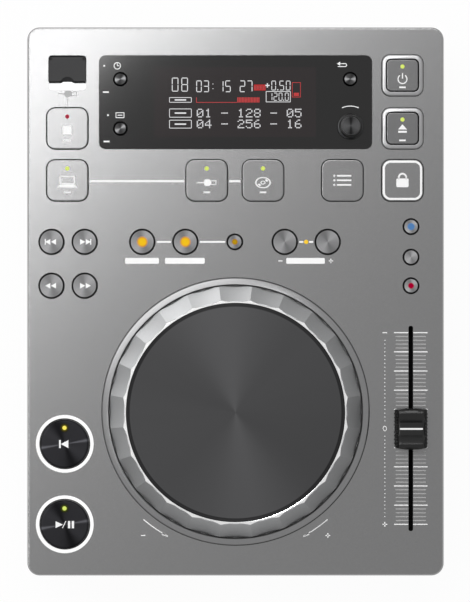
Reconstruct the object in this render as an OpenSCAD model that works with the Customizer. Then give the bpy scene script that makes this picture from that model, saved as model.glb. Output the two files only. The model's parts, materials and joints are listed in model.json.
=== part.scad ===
// Tabletop disc player with a jog wheel, a pitch fader and a front-loading disc drive.
// The origin is the centre of the footprint at table height; +Y is the rear, +Z is up.

/* [Body] */
// Height of the top panel above the table
panel_z = 85; // [84:0.5:100]
// Radius of the body's corners, seen from above
corner_r = 6.5; // [5:0.5:9]
// Thickness of the top panel
panel_t = 2.6; // [2.4:0.1:3.2]
// Rounding of the panel's outer edge
panel_edge = 1.0; // [0.6:0.1:1.4]
// Wall of the side frame
frame_wall = 2.4; // [2:0.1:3.2]
// Height of the seam between side frame and lower case
seam_z = 42; // [41:0.5:48]
// Wall and floor of the lower case
case_wall = 2.4; // [2:0.1:3]
// How far the lower case is set in from the side frame
case_inset = 1.2; // [0.8:0.1:2]
// Height of the rubber feet
foot_h = 4; // [3:0.5:4.5]
// Radius of the rubber feet
foot_r = 9; // [6:0.5:11]
// Distance from the body's edges to the centre of each foot
foot_margin = 22; // [20:0.5:26]

/* [Layout] */
// Width of the strip at each side of the jog wheel's ring
side_strip = 39; // [38.5:0.5:48]
// Gap between the rear edge and the power button's surround
rear_gap = 14.45; // [14:0.05:18]
// Gap between the surrounds of the power and eject buttons
surround_gap = 6.3; // [6:0.1:8]
// Gap between one square button and the next in a column
square_gap = 5.45; // [5:0.05:8]
// Gap between the square buttons and the loop buttons
loop_gap = 14.75; // [14:0.05:18]
// Gap between the loop buttons and the search buttons
search_gap = 9.8; // [9:0.1:12]
// Gap between the loop buttons and the jog wheel's ring
jog_gap = 12.15; // [11:0.05:15]
// Gap between the small buttons at the right edge and the fader's body
fader_gap = 6.75; // [6:0.05:9]
// Gap between the fader's body and the front edge
fader_front = 13.15; // [12:0.05:18]
// Gap between the left edge and the square buttons
left_gap = 10.1; // [9:0.1:12]
// Gap between the right edge and the square buttons
right_gap = 10.8; // [9:0.1:12]
// Gap between the left column and the display window
window_gap = 5.75; // [5:0.05:8]
// Gap between the two source buttons in the middle
source_gap = 7.7; // [7:0.1:9]
// Gap between the playlist button and the one at its right
playlist_gap = 9.7; // [8:0.1:12]
// Gap between the left edge and the lit rings of cue and play
cue_gap = 4.5; // [4:0.1:6]
// Gap between the lit rings of cue and play
play_gap = 12; // [10:0.5:14]

/* [Screws] */
// Radius of the screws' shanks
screw_r = 1.5; // [1.2:0.1:1.8]
// Radius of the screws' heads
screw_head_r = 2.8; // [2.4:0.1:3]
// Length of the screws' shanks
screw_len = 18; // [14:1:20]
// Distance from the body's edges to the screws
screw_margin = 12; // [11:0.5:14]

/* [Buttons] */
// Side of the large square buttons
square_w = 21.8; // [20:0.1:22]
// Corner radius of the large square buttons
square_r = 4.7; // [3.5:0.1:5.5]
// Side of the power and eject buttons
power_w = 16.8; // [15:0.1:17.2]
// Corner radius of the power and eject buttons
power_r = 2.6; // [1.5:0.1:3.5]
// Outer side of the surrounds of the power and eject buttons
surround_w = 21.5; // [21:0.1:22.5]
// Outer corner radius of those surrounds
surround_r = 4.4; // [3.5:0.1:5]
// Radius of the round buttons
round_r = 6.6; // [5.5:0.1:6.8]
// Radius of the small round buttons at the right edge
small_r = 4.1; // [3.5:0.1:4.5]
// Radius of the buttons in the display window
window_button_r = 3.5; // [3:0.1:4]
// Radius of the cue and play buttons
cue_r = 12.9; // [12:0.1:13]
// Outer radius of the lit rings round cue and play
cue_ring_r = 15.1; // [14.8:0.1:15.6]
// Height of the button caps above the panel
cap_rise = 1.2; // [0.8:0.1:2]
// Height of the cue and play caps above the panel
cue_rise = 2.2; // [1.5:0.1:3]
// Travel of a button
button_travel = 0.8; // [0.5:0.1:1]
// Gap round a button in its hole
button_gap = 0.35; // [0.3:0.05:0.5]
// Thickness of the flange that keeps a button in
flange_t = 1.2; // [1:0.1:1.5]
// How far the flange reaches past the cap
flange_reach = 1.5; // [1:0.1:1.6]

/* [Display] */
// Depth of the display window, front to rear
window_d = 49.1; // [47:0.1:51]
// Thickness of the display window
window_t = 1.5; // [1:0.1:1.7]
// Corner radius of the display window
window_r = 3.5; // [2:0.5:5]
// Width of the display module
module_w = 84; // [80:0.5:88]
// Depth of the display module, front to rear
module_d = 33; // [30:0.5:36]

/* [Select knob] */
// Radius of the knob's skirt
knob_r = 6.9; // [6:0.1:7.5]
// Radius of the knob's top
knob_top_r = 5.7; // [5:0.1:5.9]
// Height of the knob
knob_h = 11; // [8:0.5:13]
// Radius of the knob's shaft
knob_shaft_r = 3; // [2.5:0.1:3.2]
// How far the knob can be pressed
knob_travel = 0.5; // [0.3:0.1:0.6]

/* [Jog wheel] */
// Height of the jog wheel's rim above the panel
jog_h = 20.5; // [18:0.5:24]
// Outer radius of the fixed ring round the jog wheel
jog_ring_r = 70.2; // [69.5:0.1:71]
// Height of the fixed ring above the panel
jog_ring_h = 2.4; // [1.6:0.1:3]
// Width of the fixed ring, seen from above
jog_ring_w = 3.5; // [3:0.1:4]
// Gap between the dial and the fixed ring
dial_gap = 0.5; // [0.4:0.1:0.8]
// Width of the dial's sloping side, seen from above
dial_slope_w = 6; // [5:0.1:7]
// Width of the dial's rim
rim_w = 2.3; // [1.8:0.1:2.6]
// Gap between the rim and the platter
platter_gap = 0.7; // [0.5:0.1:0.9]
// Number of finger dimples round the dial
dimples = 24; // [12:1:30]
// Radius of each finger dimple's curve
dimple_r = 31; // [25:1:60]
// Thickness of the platter
platter_t = 3; // [2:0.1:4]
// Radius of the fixed post that the dial turns on
post_r = 5; // [4:0.5:6]

/* [Pitch fader] */
// Travel of the fader from end to end
fader_travel = 100; // [90:1:100]
// Width of the fader's slot
fader_slot_w = 2.4; // [2:0.1:3]
// Width of the fader's cap
fader_cap_w = 17.1; // [14:0.1:18]
// Length of the fader's cap
fader_cap_d = 21.8; // [18:0.1:24]
// Height of the fader's cap
fader_cap_h = 10.5; // [9:0.5:12]
// Distance from the fader's slot to the body's right edge
fader_margin = 17.3; // [17:0.1:18]

/* [Memory port] */
// Width of the port's door
door_w = 19.4; // [18:0.1:20]
// Depth of the port's door, front to rear
door_d = 13.3; // [12:0.1:14]
// Thickness of the port's door
door_t = 2.2; // [2:0.1:2.3]
// Radius of the door's hinge pins
door_pin_r = 0.7; // [0.6:0.05:0.8]

/* [Disc drive] */
// Height of the middle of the disc slot
slot_z = 30; // [29:0.5:31]
// Width of the disc slot
slot_w = 124; // [122:1:126]
// Height of the disc slot
slot_h = 5; // [4.8:0.1:5.4]
// Width of the drive
drive_w = 146; // [144:1:150]
// Thickness of the drive's sheet steel
sheet_t = 1.2; // [1:0.1:1.5]
// Radius of the loading roller
roller_r = 4; // [3.5:0.1:4.2]
// Radius of the turntable
turntable_r = 14; // [12:0.5:14.5]
// Travel of the pickup sled
sled_travel = 34; // [30:1:34]
// Radius of the sled's guide rods
rod_r = 1.5; // [1.2:0.1:1.7]
// Number of teeth on the feed pinion
pinion_teeth = 12; // [12:1:14]

/* [Circuit boards] */
// Thickness of the circuit boards
board_t = 1.6; // [1.2:0.1:2]
// Gap between the panel and the board below its buttons
board_drop = 9.9; // [9.5:0.1:12]
// Height of the lower boards above the case's floor
low_board_lift = 9.6; // [9:0.1:11]

/* [Rear sockets] */
// Radius of the phono sockets' sleeves
phono_r = 4.15; // [4:0.05:4.3]
// Length of the phono sockets' sleeves
phono_len = 9; // [8:0.1:9.5]
// Radius of the control jack's bore
jack_r = 1.8; // [1.5:0.05:1.9]
// Depth of the recess for the rear sockets
recess_d = 10; // [9.8:0.1:11]

/* [Hidden] */
$fn = 96;

// Small amounts shared by many pieces
cut = 1;            // how far a cutting shape runs past what it cuts
seat_gap = 0.3;     // rest gap between pieces of different bodies
run_gap = 0.06;     // radial clearance of a shaft in its bore
trim_gap = 0.1;     // gap round a trim that is set in another piece

// Heights
under_z = panel_z - panel_t;              // underside of the top panel
board_z = under_z - board_drop;           // top of the boards below the buttons
floor_z = foot_h + case_wall;             // inside floor of the lower case
low_board_z = floor_z + low_board_lift;   // underside of the main and supply boards
switch_h = 4.3;                           // height of a switch with its plunger
stem_z = board_z + switch_h + button_travel + 0.1;
jog_top = panel_z + jog_h;

// Rows of the controls, from the rear edge, and the body's size that they lead to
fader_body_d = fader_travel + 28;
power_drop = rear_gap + surround_w / 2;
stop_drop = power_drop + surround_w + surround_gap;
source_drop = stop_drop + square_w + square_gap;
loop_drop = source_drop + square_w / 2 + loop_gap + round_r;
search_drop = loop_drop + 2 * round_r + search_gap;
jog_drop = loop_drop + round_r + jog_gap + jog_ring_r;
fader_drop = search_drop + small_r + fader_gap + fader_body_d / 2;
body_d = fader_drop + fader_body_d / 2 + fader_front;
body_w = 2 * (jog_ring_r + side_strip);
window_w = body_w - 2 * (left_gap + square_w + window_gap);

// The same rows and the columns as places
left_x = left_gap + square_w / 2 - body_w / 2;
right_x = body_w / 2 - right_gap - square_w / 2;
edge_x = body_w / 2 - 17.2;
cue_x = cue_gap + cue_ring_r - body_w / 2;
row_power = body_d / 2 - power_drop;
row_window = row_power - 14.05;
row_stop = body_d / 2 - stop_drop;
row_source = body_d / 2 - source_drop;
row_loop = body_d / 2 - loop_drop;
row_search = body_d / 2 - search_drop;
jog_y = body_d / 2 - jog_drop;
fader_x = body_w / 2 - fader_margin;
fader_y = body_d / 2 - fader_drop;
source_pitch = square_w + source_gap;
source_mid = -0.35;
window_row_rear = row_window + 12.1;
window_row_front = row_window - 13.8;
window_column = window_w / 2 - 11.15;

cue_at = [cue_x, jog_y - 17];
play_at = [cue_x, cue_at[1] - 2 * cue_ring_r - play_gap];
track_back_at = [left_x - 8.3, row_loop];
track_forward_at = [left_x + 9.1, row_loop];
search_back_at = [left_x - 8.3, row_search];
search_forward_at = [left_x + 9.1, row_search];
loop_in_at = [-48.9, row_loop];
loop_out_at = [-26.3, row_loop];
reloop_at = [-0.4, row_loop];
beat_minus_at = [25.8, row_loop];
beat_plus_at = [48.3, row_loop];
beat_lamp_at = [37, row_loop];
vinyl_at = [edge_x, row_loop + 8];
tempo_range_at = [edge_x, row_loop - 8];
master_tempo_at = [edge_x, row_search];
usb_stop_at = [left_x, row_stop];
computer_at = [left_x, row_source];
usb_source_at = [source_mid - source_pitch / 2, row_source];
disc_source_at = [source_mid + source_pitch / 2, row_source];
playlist_at = [right_x - square_w - playlist_gap, row_source];
bpm_lock_at = [right_x, row_source];
power_at = [right_x, row_power];
eject_at = [right_x, row_stop];
time_mode_at = [-window_column, window_row_rear];
display_mode_at = [-window_column, window_row_front];
back_at = [window_column - 0.3, window_row_rear];
knob_at = [window_column - 0.2, row_window - 12.8];

square_places = [usb_stop_at, computer_at, usb_source_at, disc_source_at, playlist_at,
  bpm_lock_at];
surround_places = [power_at, eject_at];
round_places = [track_back_at, track_forward_at, search_back_at, search_forward_at,
  loop_in_at, loop_out_at, beat_minus_at, beat_plus_at];
small_places = [reloop_at, vinyl_at, tempo_range_at, master_tempo_at];
window_places = [time_mode_at, display_mode_at, back_at];
cue_places = [cue_at, play_at];
switch_places = concat(square_places, surround_places, round_places, small_places,
  window_places, cue_places);
spacer_places = [[-66, body_d / 2 - 9.5], [66, body_d / 2 - 9.5], [-64, row_source - 15.5],
  [36, row_source - 15.5], [body_w / 2 - 11.2, row_source - 16.5], [left_x, row_loop - 11.4],
  [cue_x - 8.5, (cue_at[1] + play_at[1]) / 2], [cue_x + 8.5, (cue_at[1] + play_at[1]) / 2]];

// Case screws
screw_places = [for (x = [-1, 1], y = [-1, 0, 1])
  [x * (body_w / 2 - screw_margin), y * (body_d / 2 - screw_margin)]];
screw_post_r = 5;
screw_grip = 8;                           // what a screw passes before its thread starts
screw_shelf_z = seam_z - screw_grip;

// Buttons
surround_hole = power_w + 2 * button_gap;
sleeve_wall = 1;
sleeve_w = surround_hole + 2 * sleeve_wall;
sleeve_r = power_r + button_gap + sleeve_wall;
ring_inner_r = cue_r + button_gap;
ring_flange_r = cue_ring_r + 1.4;
surround_rise = 1.8;
surround_edge = 0.9;
square_edge = 0.6;
round_edge = 0.5;
lit_edge = 1.2;
lamp_r = 1;
ring_rise = 0.8;
stem_r = 2;

// Display module
module_r = 1;
module_gap = 1;                           // round the module in the panel
module_air = 0.6;                         // between the module and the window

// Knob and encoder
knob_hole_gap = 1.5;
knob_lift = knob_travel + 0.5;
encoder_w = 12;
encoder_h = 6.5;
rotor_r = 4.5;
rotor_neck_r = 3.9;

// Jog wheel
dial_r = jog_ring_r - jog_ring_w - dial_gap;
rim_r = dial_r - dial_slope_w;
rim_inner_r = rim_r - rim_w;
platter_r = rim_inner_r - platter_gap;
hub_r = 10;
web_t = 2.4;
dial_lift = 0.6;
web_z = panel_z + 6;
base_plate_t = 2.4;
base_r = dial_r;
panel_jog_hole = rim_r + 0.8;
hub_foot_z = under_z + 1;
hub_top_z = web_z + web_t + 2;
platter_z = jog_top - 0.7;
platter_stem_r = 2;
slit_ring_r = rim_inner_r - 9.9;
platter_stem_at = slit_ring_r - 8;
dial_foot_h = 2.8;
rim_edge = 0.3;
platter_edge = 0.6;
groove_outer = 1.3;                       // groove near the platter's edge, from that edge
groove_inner = 1.9;
groove_depth = 0.4;
dimple_slope = atan((dial_r - rim_r) / (jog_h - dial_foot_h));
rim_mid_r = rim_r * cos(180 / dimples)
  - pow(rim_r * sin(180 / dimples), 2) / (2 * dimple_r) - 0.1;

// Fader
fader_slot_d = fader_travel + 7.6;
fader_body_w = 13;
fader_body_h = 9;
fader_body_z = under_z - 16.4;
lever_t = 1.2;
lever_d = 5;
carriage_d = 14;
fader_cap_lift = 0.8;

// Memory port
door_y = row_power + 3.6;
door_front_y = door_y - door_d / 2;
door_top_drop = 0.1;
door_axis_r = door_t / 2;
door_axis_y = door_y + door_d / 2 - door_axis_r;
door_axis_z = panel_z - door_top_drop - door_axis_r;
door_corner_r = 1.8;
door_pin_len = 1.5;                       // of each hinge pin past the door
door_pin_room = 0.8;                      // at the end of each pin in its bore
scoop_d = 4.6;
scoop_depth = 1.7;
tub_wall = 1;
tub_w = door_w + 2.6;
tub_d = door_d + 2.7;
tub_floor_z = panel_z - 8.4;
tub_r = 2;
port_lip = 1;
port_w = 13.2;
port_d = 5.8;
port_h = 14;
port_wall = 0.4;

// Disc drive
path_half = slot_h / 2;
path_floor = slot_z - path_half;
ceiling_z = slot_z + path_half;
drive_z = slot_z - 18;
drive_top = drive_z + sheet_t;
drive_front = 7 - body_d / 2;
lid_z = ceiling_z + 2.4;
lid_top = lid_z + sheet_t;
spindle_y = 69.75 - body_d / 2;
sled_y = spindle_y + 22.5;
sled_d = 15;
sled_h = 6;
sled_end_gap = 1.05;                      // between the sled at its rear end and the rod posts
rod_post_t = 2;
rod_rear = sled_y + sled_d / 2 + sled_travel + sled_end_gap + rod_post_t;
drive_rear = rod_rear + sheet_t;
hub_cone_r = 7.4;
seat_z = path_floor - 1.3;
motor_r = 12;
arm_z = lid_top + 1.1;
arm_t = 1.6;
arm_w = 24;
arm_axis_z = arm_z + arm_t / 2;
arm_axis_y = drive_rear - 4;
arm_pin_r = 1.2;
lug_gap = 2.5;                            // from the arm to the lug that carries its pin
pin_end = 0.2;                            // of a pin past its lug
axle_end = 0.5;                           // of an axle past the chassis wall
clamper_neck_r = 4;
roller_y = 15.5 - body_d / 2;
roller_z = path_floor - 0.1 - roller_r;
roller_half = 60;
roller_axis_y = roller_y + 24;
roller_axis_z = drive_top + 4.8;
roller_plate_x = 62.5;
roller_plate_t = 1.5;
roller_shaft_r = 1.5;
rod_x = 22;
rod_z = drive_top + 6.3;
rod_front = spindle_y + 8;
gear_module = 1;
gear_low = 1.15 * gear_module;            // tooth depth inside the pitch line
gear_high = 0.9 * gear_module;            // tooth height outside it
tooth_w = 1.25;                           // at the pitch line, which leaves some play
tooth_slope = 0.36;
pinion_r = gear_module * pinion_teeth / 2;
rack_x = 31;
pinion_at = [rack_x + pinion_r, spindle_y + 28];
pinion_z = rod_z - 2.9;
pinion_h = 3.8;
feed_motor_r = 8;
feed_motor_h = 5;

// Rear
case_rear_y = body_d / 2 - case_inset;
recess_y = case_rear_y - recess_d;
recess_x = [13, 87];
recess_z = [low_board_z - 2, low_board_z + 18];
recess_wall = 1.6;
socket_z = low_board_z + 8;
phono_x = [26, 42];
jack_x = 57;
usb_b_x = 73;
inlet_x = -75;
inlet_w = 21.4;
inlet_h = 12.4;
inlet_gap = 0.2;

// Disc slot
bezel_w = slot_w + 14;
bezel_h = slot_h + 11;
bezel_lip = 1;
bezel_t = 3.8;
case_front_y = case_inset - body_d / 2;
bezel_front_y = case_front_y - bezel_lip;
bezel_back_y = bezel_front_y + bezel_t;

// ---------- shared shapes ----------

// Rectangle with round corners, centred
module rounded_rect(w, d, r) {
  square([w, d - 2 * r], center = true);
  square([w - 2 * r, d], center = true);
  for (x = [-1, 1], y = [-1, 1])
    translate([x * (w / 2 - r), y * (d / 2 - r)]) circle(r);
}

// Plate with round corners, standing on z = 0
module slab(w, d, h, r) {
  linear_extrude(h) rounded_rect(w, d, r);
}

// Half profile of a plate whose top edge is rounded by e
module edge_half(half, h, e) {
  square([half, h - e]);
  square([half - e, h]);
  translate([half - e, h - e]) circle(e);
}

module edge_profile(half, h, e) {
  edge_half(half, h, e);
  mirror([1, 0]) edge_half(half, h, e);
}

// Plate with round corners and a rounded top edge, standing on z = 0
module soft_slab(w, d, h, r, e) {
  for (x = [-1, 1], y = [-1, 1])
    translate([x * (w / 2 - r), y * (d / 2 - r)]) soft_disc(r, h, e);
  translate([0, d / 2 - r]) rotate([90, 0, 0]) linear_extrude(d - 2 * r)
    edge_profile(w / 2, h, e);
  translate([-(w / 2 - r), 0]) rotate([90, 0, 90]) linear_extrude(w - 2 * r)
    edge_profile(d / 2, h, e);
}

// Disc with a rounded top edge, standing on z = 0
module soft_disc(r, h, e) {
  rotate_extrude() intersection() {
    edge_half(r, h, e);
    square([r, h]);
  }
}

// Tube along +Z, standing on z = 0
module tube(outer, inner, h) {
  difference() {
    cylinder(r = outer, h = h);
    translate([0, 0, -cut]) cylinder(r = inner, h = h + 2 * cut);
  }
}

// Cylinder along +X, centred on the origin
module x_rod(r, len) {
  rotate([0, 90, 0]) cylinder(r = r, h = len, center = true);
}

// Cylinder along +Y that starts at the origin
module y_rod(r, len) {
  rotate([-90, 0, 0]) cylinder(r = r, h = len);
}

// ---------- buttons ----------

// Stem below a cap, from just above its switch up to top_z
module button_foot(top_z) {
  translate([0, 0, stem_z]) cylinder(r = stem_r, h = top_z - stem_z);
}

// Square button: cap, flange and stem; stop_z is where the flange meets its seat
module square_button(at, w, r, rise, stop_z, reach) {
  translate([at[0], at[1], 0]) {
    translate([0, 0, stop_z]) soft_slab(w, w, panel_z + rise - stop_z, r, square_edge);
    translate([0, 0, stop_z - flange_t]) slab(w + 2 * reach, w + 2 * reach, flange_t, r);
    button_foot(stop_z);
  }
}

// Round button: cap, flange under its seat and stem
module round_button(at, r, rise, edge, stop_z, reach) {
  translate([at[0], at[1], 0]) {
    translate([0, 0, stop_z]) soft_disc(r, panel_z + rise - stop_z, edge);
    translate([0, 0, stop_z - flange_t]) cylinder(r = r + reach, h = flange_t);
    button_foot(stop_z);
  }
}

module large_square(at) {
  color("darkgray") square_button(at, square_w, square_r, cap_rise, under_z, flange_reach);
}

module framed_square(at) {
  color("dimgray")
    square_button(at, power_w, power_r, cap_rise, under_z, flange_reach);
}

module metal_round(at, r) {
  color("silver") round_button(at, r, cap_rise, round_edge, under_z, flange_reach);
}

module lit_round(at) {
  color("black")
    round_button(at, cue_r, cue_rise, lit_edge, under_z - flange_t, flange_reach);
}

module cue_button() { lit_round(cue_at); }
module play_button() { lit_round(play_at); }
module track_back_button() { metal_round(track_back_at, round_r); }
module track_forward_button() { metal_round(track_forward_at, round_r); }
module search_back_button() { metal_round(search_back_at, round_r); }
module search_forward_button() { metal_round(search_forward_at, round_r); }
module loop_in_button() { metal_round(loop_in_at, round_r); }
module loop_out_button() { metal_round(loop_out_at, round_r); }
module reloop_button() { metal_round(reloop_at, small_r); }
module beat_minus_button() { metal_round(beat_minus_at, round_r); }
module beat_plus_button() { metal_round(beat_plus_at, round_r); }
module vinyl_button() { metal_round(vinyl_at, small_r); }
module tempo_range_button() { metal_round(tempo_range_at, small_r); }
module master_tempo_button() { metal_round(master_tempo_at, small_r); }
module usb_stop_button() { large_square(usb_stop_at); }
module computer_button() { large_square(computer_at); }
module usb_source_button() { large_square(usb_source_at); }
module disc_source_button() { large_square(disc_source_at); }
module playlist_button() { large_square(playlist_at); }
module bpm_lock_button() { large_square(bpm_lock_at); }
module power_button() { framed_square(power_at); }
module eject_button() { framed_square(eject_at); }
module time_mode_button() { metal_round(time_mode_at, window_button_r); }
module display_mode_button() { metal_round(display_mode_at, window_button_r); }
module back_button() { metal_round(back_at, window_button_r); }

// ---------- top panel and what is set in it ----------

// Outline of the port's door opening: round corners at the rear only
module door_outline(w, d, r) {
  translate([-w / 2, -d / 2]) square([w, d - r]);
  translate([-(w / 2 - r), -d / 2]) square([w - 2 * r, d]);
  for (x = [-1, 1]) translate([x * (w / 2 - r), d / 2 - r]) circle(r);
}

module door_cuts() {
  translate([left_x, door_y, under_z - cut]) linear_extrude(panel_t + 2 * cut)
    door_outline(door_w + 2 * seat_gap, door_d + 2 * seat_gap, door_corner_r + seat_gap);
  translate([left_x, door_axis_y, door_axis_z])
    x_rod(door_pin_r + run_gap, door_w + 2 * (door_pin_len + door_pin_room));
  // finger scoop in front of the door
  intersection() {
    translate([left_x - door_w / 2, door_front_y, panel_z]) rotate([90, 0, 90])
      linear_extrude(door_w)
        polygon([[0.1, 0], [0.1, -scoop_depth], [-scoop_d, 0], [-scoop_d, 1], [0.1, 1]]);
    translate([left_x, door_front_y, panel_z - scoop_depth - cut])
      slab(door_w, 2 * scoop_d, scoop_depth + 2 * cut, door_corner_r);
  }
}

module window_cuts(gap) {
  for (p = window_places)
    translate([p[0], p[1], under_z - cut])
      cylinder(r = window_button_r + gap, h = panel_t + 2 * cut);
  translate([knob_at[0], knob_at[1], under_z - cut])
    cylinder(r = knob_shaft_r + knob_hole_gap, h = panel_t + 2 * cut);
}

module top_panel() {
  color("silver") difference() {
    translate([0, 0, under_z]) soft_slab(body_w, body_d, panel_t, corner_r, panel_edge);
    for (p = square_places)
      translate([p[0], p[1], under_z - cut])
        slab(square_w + 2 * button_gap, square_w + 2 * button_gap, panel_t + 2 * cut,
          square_r + button_gap);
    for (p = surround_places)
      translate([p[0], p[1], under_z - cut])
        slab(sleeve_w + 2 * trim_gap, sleeve_w + 2 * trim_gap, panel_t + 2 * cut,
          sleeve_r + trim_gap);
    for (p = round_places)
      translate([p[0], p[1], under_z - cut])
        cylinder(r = round_r + button_gap, h = panel_t + 2 * cut);
    for (p = small_places)
      translate([p[0], p[1], under_z - cut])
        cylinder(r = small_r + button_gap, h = panel_t + 2 * cut);
    for (p = cue_places)
      translate([p[0], p[1], under_z - cut])
        cylinder(r = cue_ring_r + trim_gap, h = panel_t + 2 * cut);
    translate([beat_lamp_at[0], beat_lamp_at[1], under_z - cut])
      cylinder(r = lamp_r, h = panel_t + 2 * cut);
    translate([0, row_window, panel_z - window_t])
      slab(window_w + 2 * trim_gap, window_d + 2 * trim_gap, window_t + cut,
        window_r + trim_gap);
    translate([0, row_window, under_z - cut])
      slab(module_w + 2 * module_gap, module_d + 2 * module_gap, panel_t + 2 * cut,
        module_r + module_gap / 2);
    window_cuts(button_gap);
    translate([0, jog_y, under_z - cut]) cylinder(r = panel_jog_hole, h = panel_t + 2 * cut);
    translate([fader_x, fader_y, under_z - cut])
      slab(fader_slot_w, fader_slot_d, panel_t + 2 * cut, fader_slot_w / 2 - 0.2);
    door_cuts();
  }
}

module display_window() {
  color("black") difference() {
    translate([0, row_window, panel_z - window_t])
      slab(window_w, window_d, window_t, window_r);
    window_cuts(button_gap);
  }
}

module display_module() {
  color("darkslategray") translate([0, row_window, board_z])
    slab(module_w, module_d, panel_z - window_t - board_z - module_air, module_r);
}

// Fixed ring round the dial
module jog_ring() {
  translate([0, jog_y, panel_z]) rotate_extrude()
    translate([dial_r + dial_gap, 0]) {
      square([jog_ring_w, jog_ring_h / 2]);
      translate([0.5, 0]) square([jog_ring_w - 0.5 - jog_ring_h / 2, jog_ring_h]);
      square([1, jog_ring_h - 0.5]);
      translate([0.5, jog_ring_h - 0.5]) circle(0.5);
      translate([jog_ring_w - jog_ring_h / 2, jog_ring_h / 2]) circle(jog_ring_h / 2);
    }
}

// Surround of a framed button: lip on the panel and sleeve through it
module button_surround(at) {
  translate([at[0], at[1], 0]) difference() {
    union() {
      translate([0, 0, panel_z]) soft_slab(surround_w, surround_w, surround_rise, surround_r,
        surround_edge);
      translate([0, 0, under_z]) slab(sleeve_w, sleeve_w, panel_t, sleeve_r);
    }
    translate([0, 0, under_z - cut])
      slab(surround_hole, surround_hole, panel_t + surround_rise + 2 * cut,
        power_r + button_gap);
  }
}

// Lit ring round cue or play, with a flange under the panel
module light_ring(at) {
  translate([at[0], at[1], 0]) difference() {
    union() {
      translate([0, 0, under_z]) soft_disc(cue_ring_r, panel_t + ring_rise, 0.3);
      translate([0, 0, under_z - flange_t]) cylinder(r = ring_flange_r, h = flange_t);
    }
    translate([0, 0, under_z - flange_t - cut])
      cylinder(r = ring_inner_r, h = panel_t + flange_t + ring_rise + 2 * cut);
  }
}

module trim_rings() {
  color("gainsboro") {
    jog_ring();
    for (p = surround_places) button_surround(p);
    for (p = cue_places) light_ring(p);
  }
}

// ---------- case ----------

module side_frame() {
  frame_h = under_z - seam_z;
  color("silver") translate([0, 0, seam_z]) difference() {
    union() {
      difference() {
        slab(body_w, body_d, frame_h, corner_r);
        translate([0, 0, -cut])
          slab(body_w - 2 * frame_wall, body_d - 2 * frame_wall, frame_h + 2 * cut,
            corner_r - frame_wall);
      }
      for (p = screw_places) {
        side = sign(p[0]);
        translate([p[0], p[1], 0]) cylinder(r = screw_post_r, h = screw_len);
        translate([side > 0 ? p[0] : -body_w / 2 + 1, p[1] - 2, 0])
          cube([screw_margin - 1, 4, screw_len]);
      }
    }
    for (p = screw_places)
      translate([p[0], p[1], -cut])
        cylinder(r = screw_r + run_gap, h = screw_len - screw_grip + seat_gap + cut);
  }
}

// Box cut or block between two corners
module block(low, high) {
  translate(low) cube(high - low);
}

// Rear recess as a box, grown by a wall
module recess_box(grow, from_y, to_y) {
  block([recess_x[0] - grow, from_y, recess_z[0] - grow],
    [recess_x[1] + grow, to_y, recess_z[1] + grow]);
}

drive_posts = [for (x = [-1, 1], y = [drive_front + 16, drive_rear - 10])
  [x * (drive_w / 2 - 10), y]];
low_board_rear = body_d / 2 - screw_margin - screw_post_r - 0.5;
supply_board = [-body_w / 2 + 9, row_search + 14, -34, low_board_rear];
main_board = [-20, row_search + 14, body_w / 2 - 9, low_board_rear];
low_boards = [supply_board, main_board];

module low_board_posts() {
  for (b = low_boards, x = [b[0] + 6, b[2] - 6], y = [b[1] + 6, b[3] - 10])
    translate([x, y, floor_z - cut / 2]) cylinder(r = 3, h = low_board_lift + cut / 2);
}

module lower_case() {
  w = body_w - 2 * case_inset;
  d = body_d - 2 * case_inset;
  r = corner_r - case_inset;
  color("dimgray") difference() {
    union() {
      difference() {
        translate([0, 0, foot_h]) slab(w, d, seam_z - foot_h, r);
        translate([0, 0, floor_z])
          slab(w - 2 * case_wall, d - 2 * case_wall, seam_z, max(r - case_wall, 0.5));
      }
      for (p = screw_places)
        translate([p[0], p[1], floor_z - cut / 2])
          cylinder(r = screw_post_r, h = seam_z - floor_z + cut / 2);
      for (p = drive_posts)
        translate([p[0], p[1], floor_z - cut / 2])
          cylinder(r = 4, h = drive_z - floor_z + cut / 2);
      low_board_posts();
      recess_box(recess_wall, recess_y, case_rear_y - cut);
    }
    for (p = screw_places)
      translate([p[0], p[1], foot_h - cut]) {
        cylinder(r = screw_head_r + seat_gap, h = screw_shelf_z - foot_h + cut);
        cylinder(r = screw_r + seat_gap, h = seam_z);
      }
    recess_box(0, recess_y - cut, case_rear_y + cut);
    // opening for the slot's bezel
    block([-bezel_w / 2 + 1, case_front_y - cut, slot_z - bezel_h / 2 + 1],
      [bezel_w / 2 - 1, case_front_y + case_wall + cut, slot_z + bezel_h / 2 - 1]);
    // opening for the mains inlet
    block([inlet_x - inlet_w / 2 - inlet_gap, case_rear_y - case_wall - cut,
      socket_z - inlet_h / 2 - inlet_gap],
      [inlet_x + inlet_w / 2 + inlet_gap, case_rear_y + cut, socket_z + inlet_h / 2 + inlet_gap]);
  }
}

module rubber_feet() {
  color("black") for (x = [-1, 1], y = [-1, 1])
    translate([x * (body_w / 2 - foot_margin), y * (body_d / 2 - foot_margin), foot_h])
      mirror([0, 0, 1]) soft_disc(foot_r, foot_h, 0.8);
}

module screws_and_spacers() {
  color("silver") {
    for (p = screw_places) translate([p[0], p[1], screw_shelf_z]) {
      cylinder(r = screw_r, h = screw_len);
      difference() {
        translate([0, 0, -2]) cylinder(r = screw_head_r, h = 2);
        translate([0, 0, -2 - cut]) cylinder(r = 1.2, h = 1.2 + cut, $fn = 6);
      }
    }
    for (p = spacer_places) translate([p[0], p[1], board_z])
      cylinder(r = 2.9, h = board_drop, $fn = 6);
  }
}

// ---------- rear ----------

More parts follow.
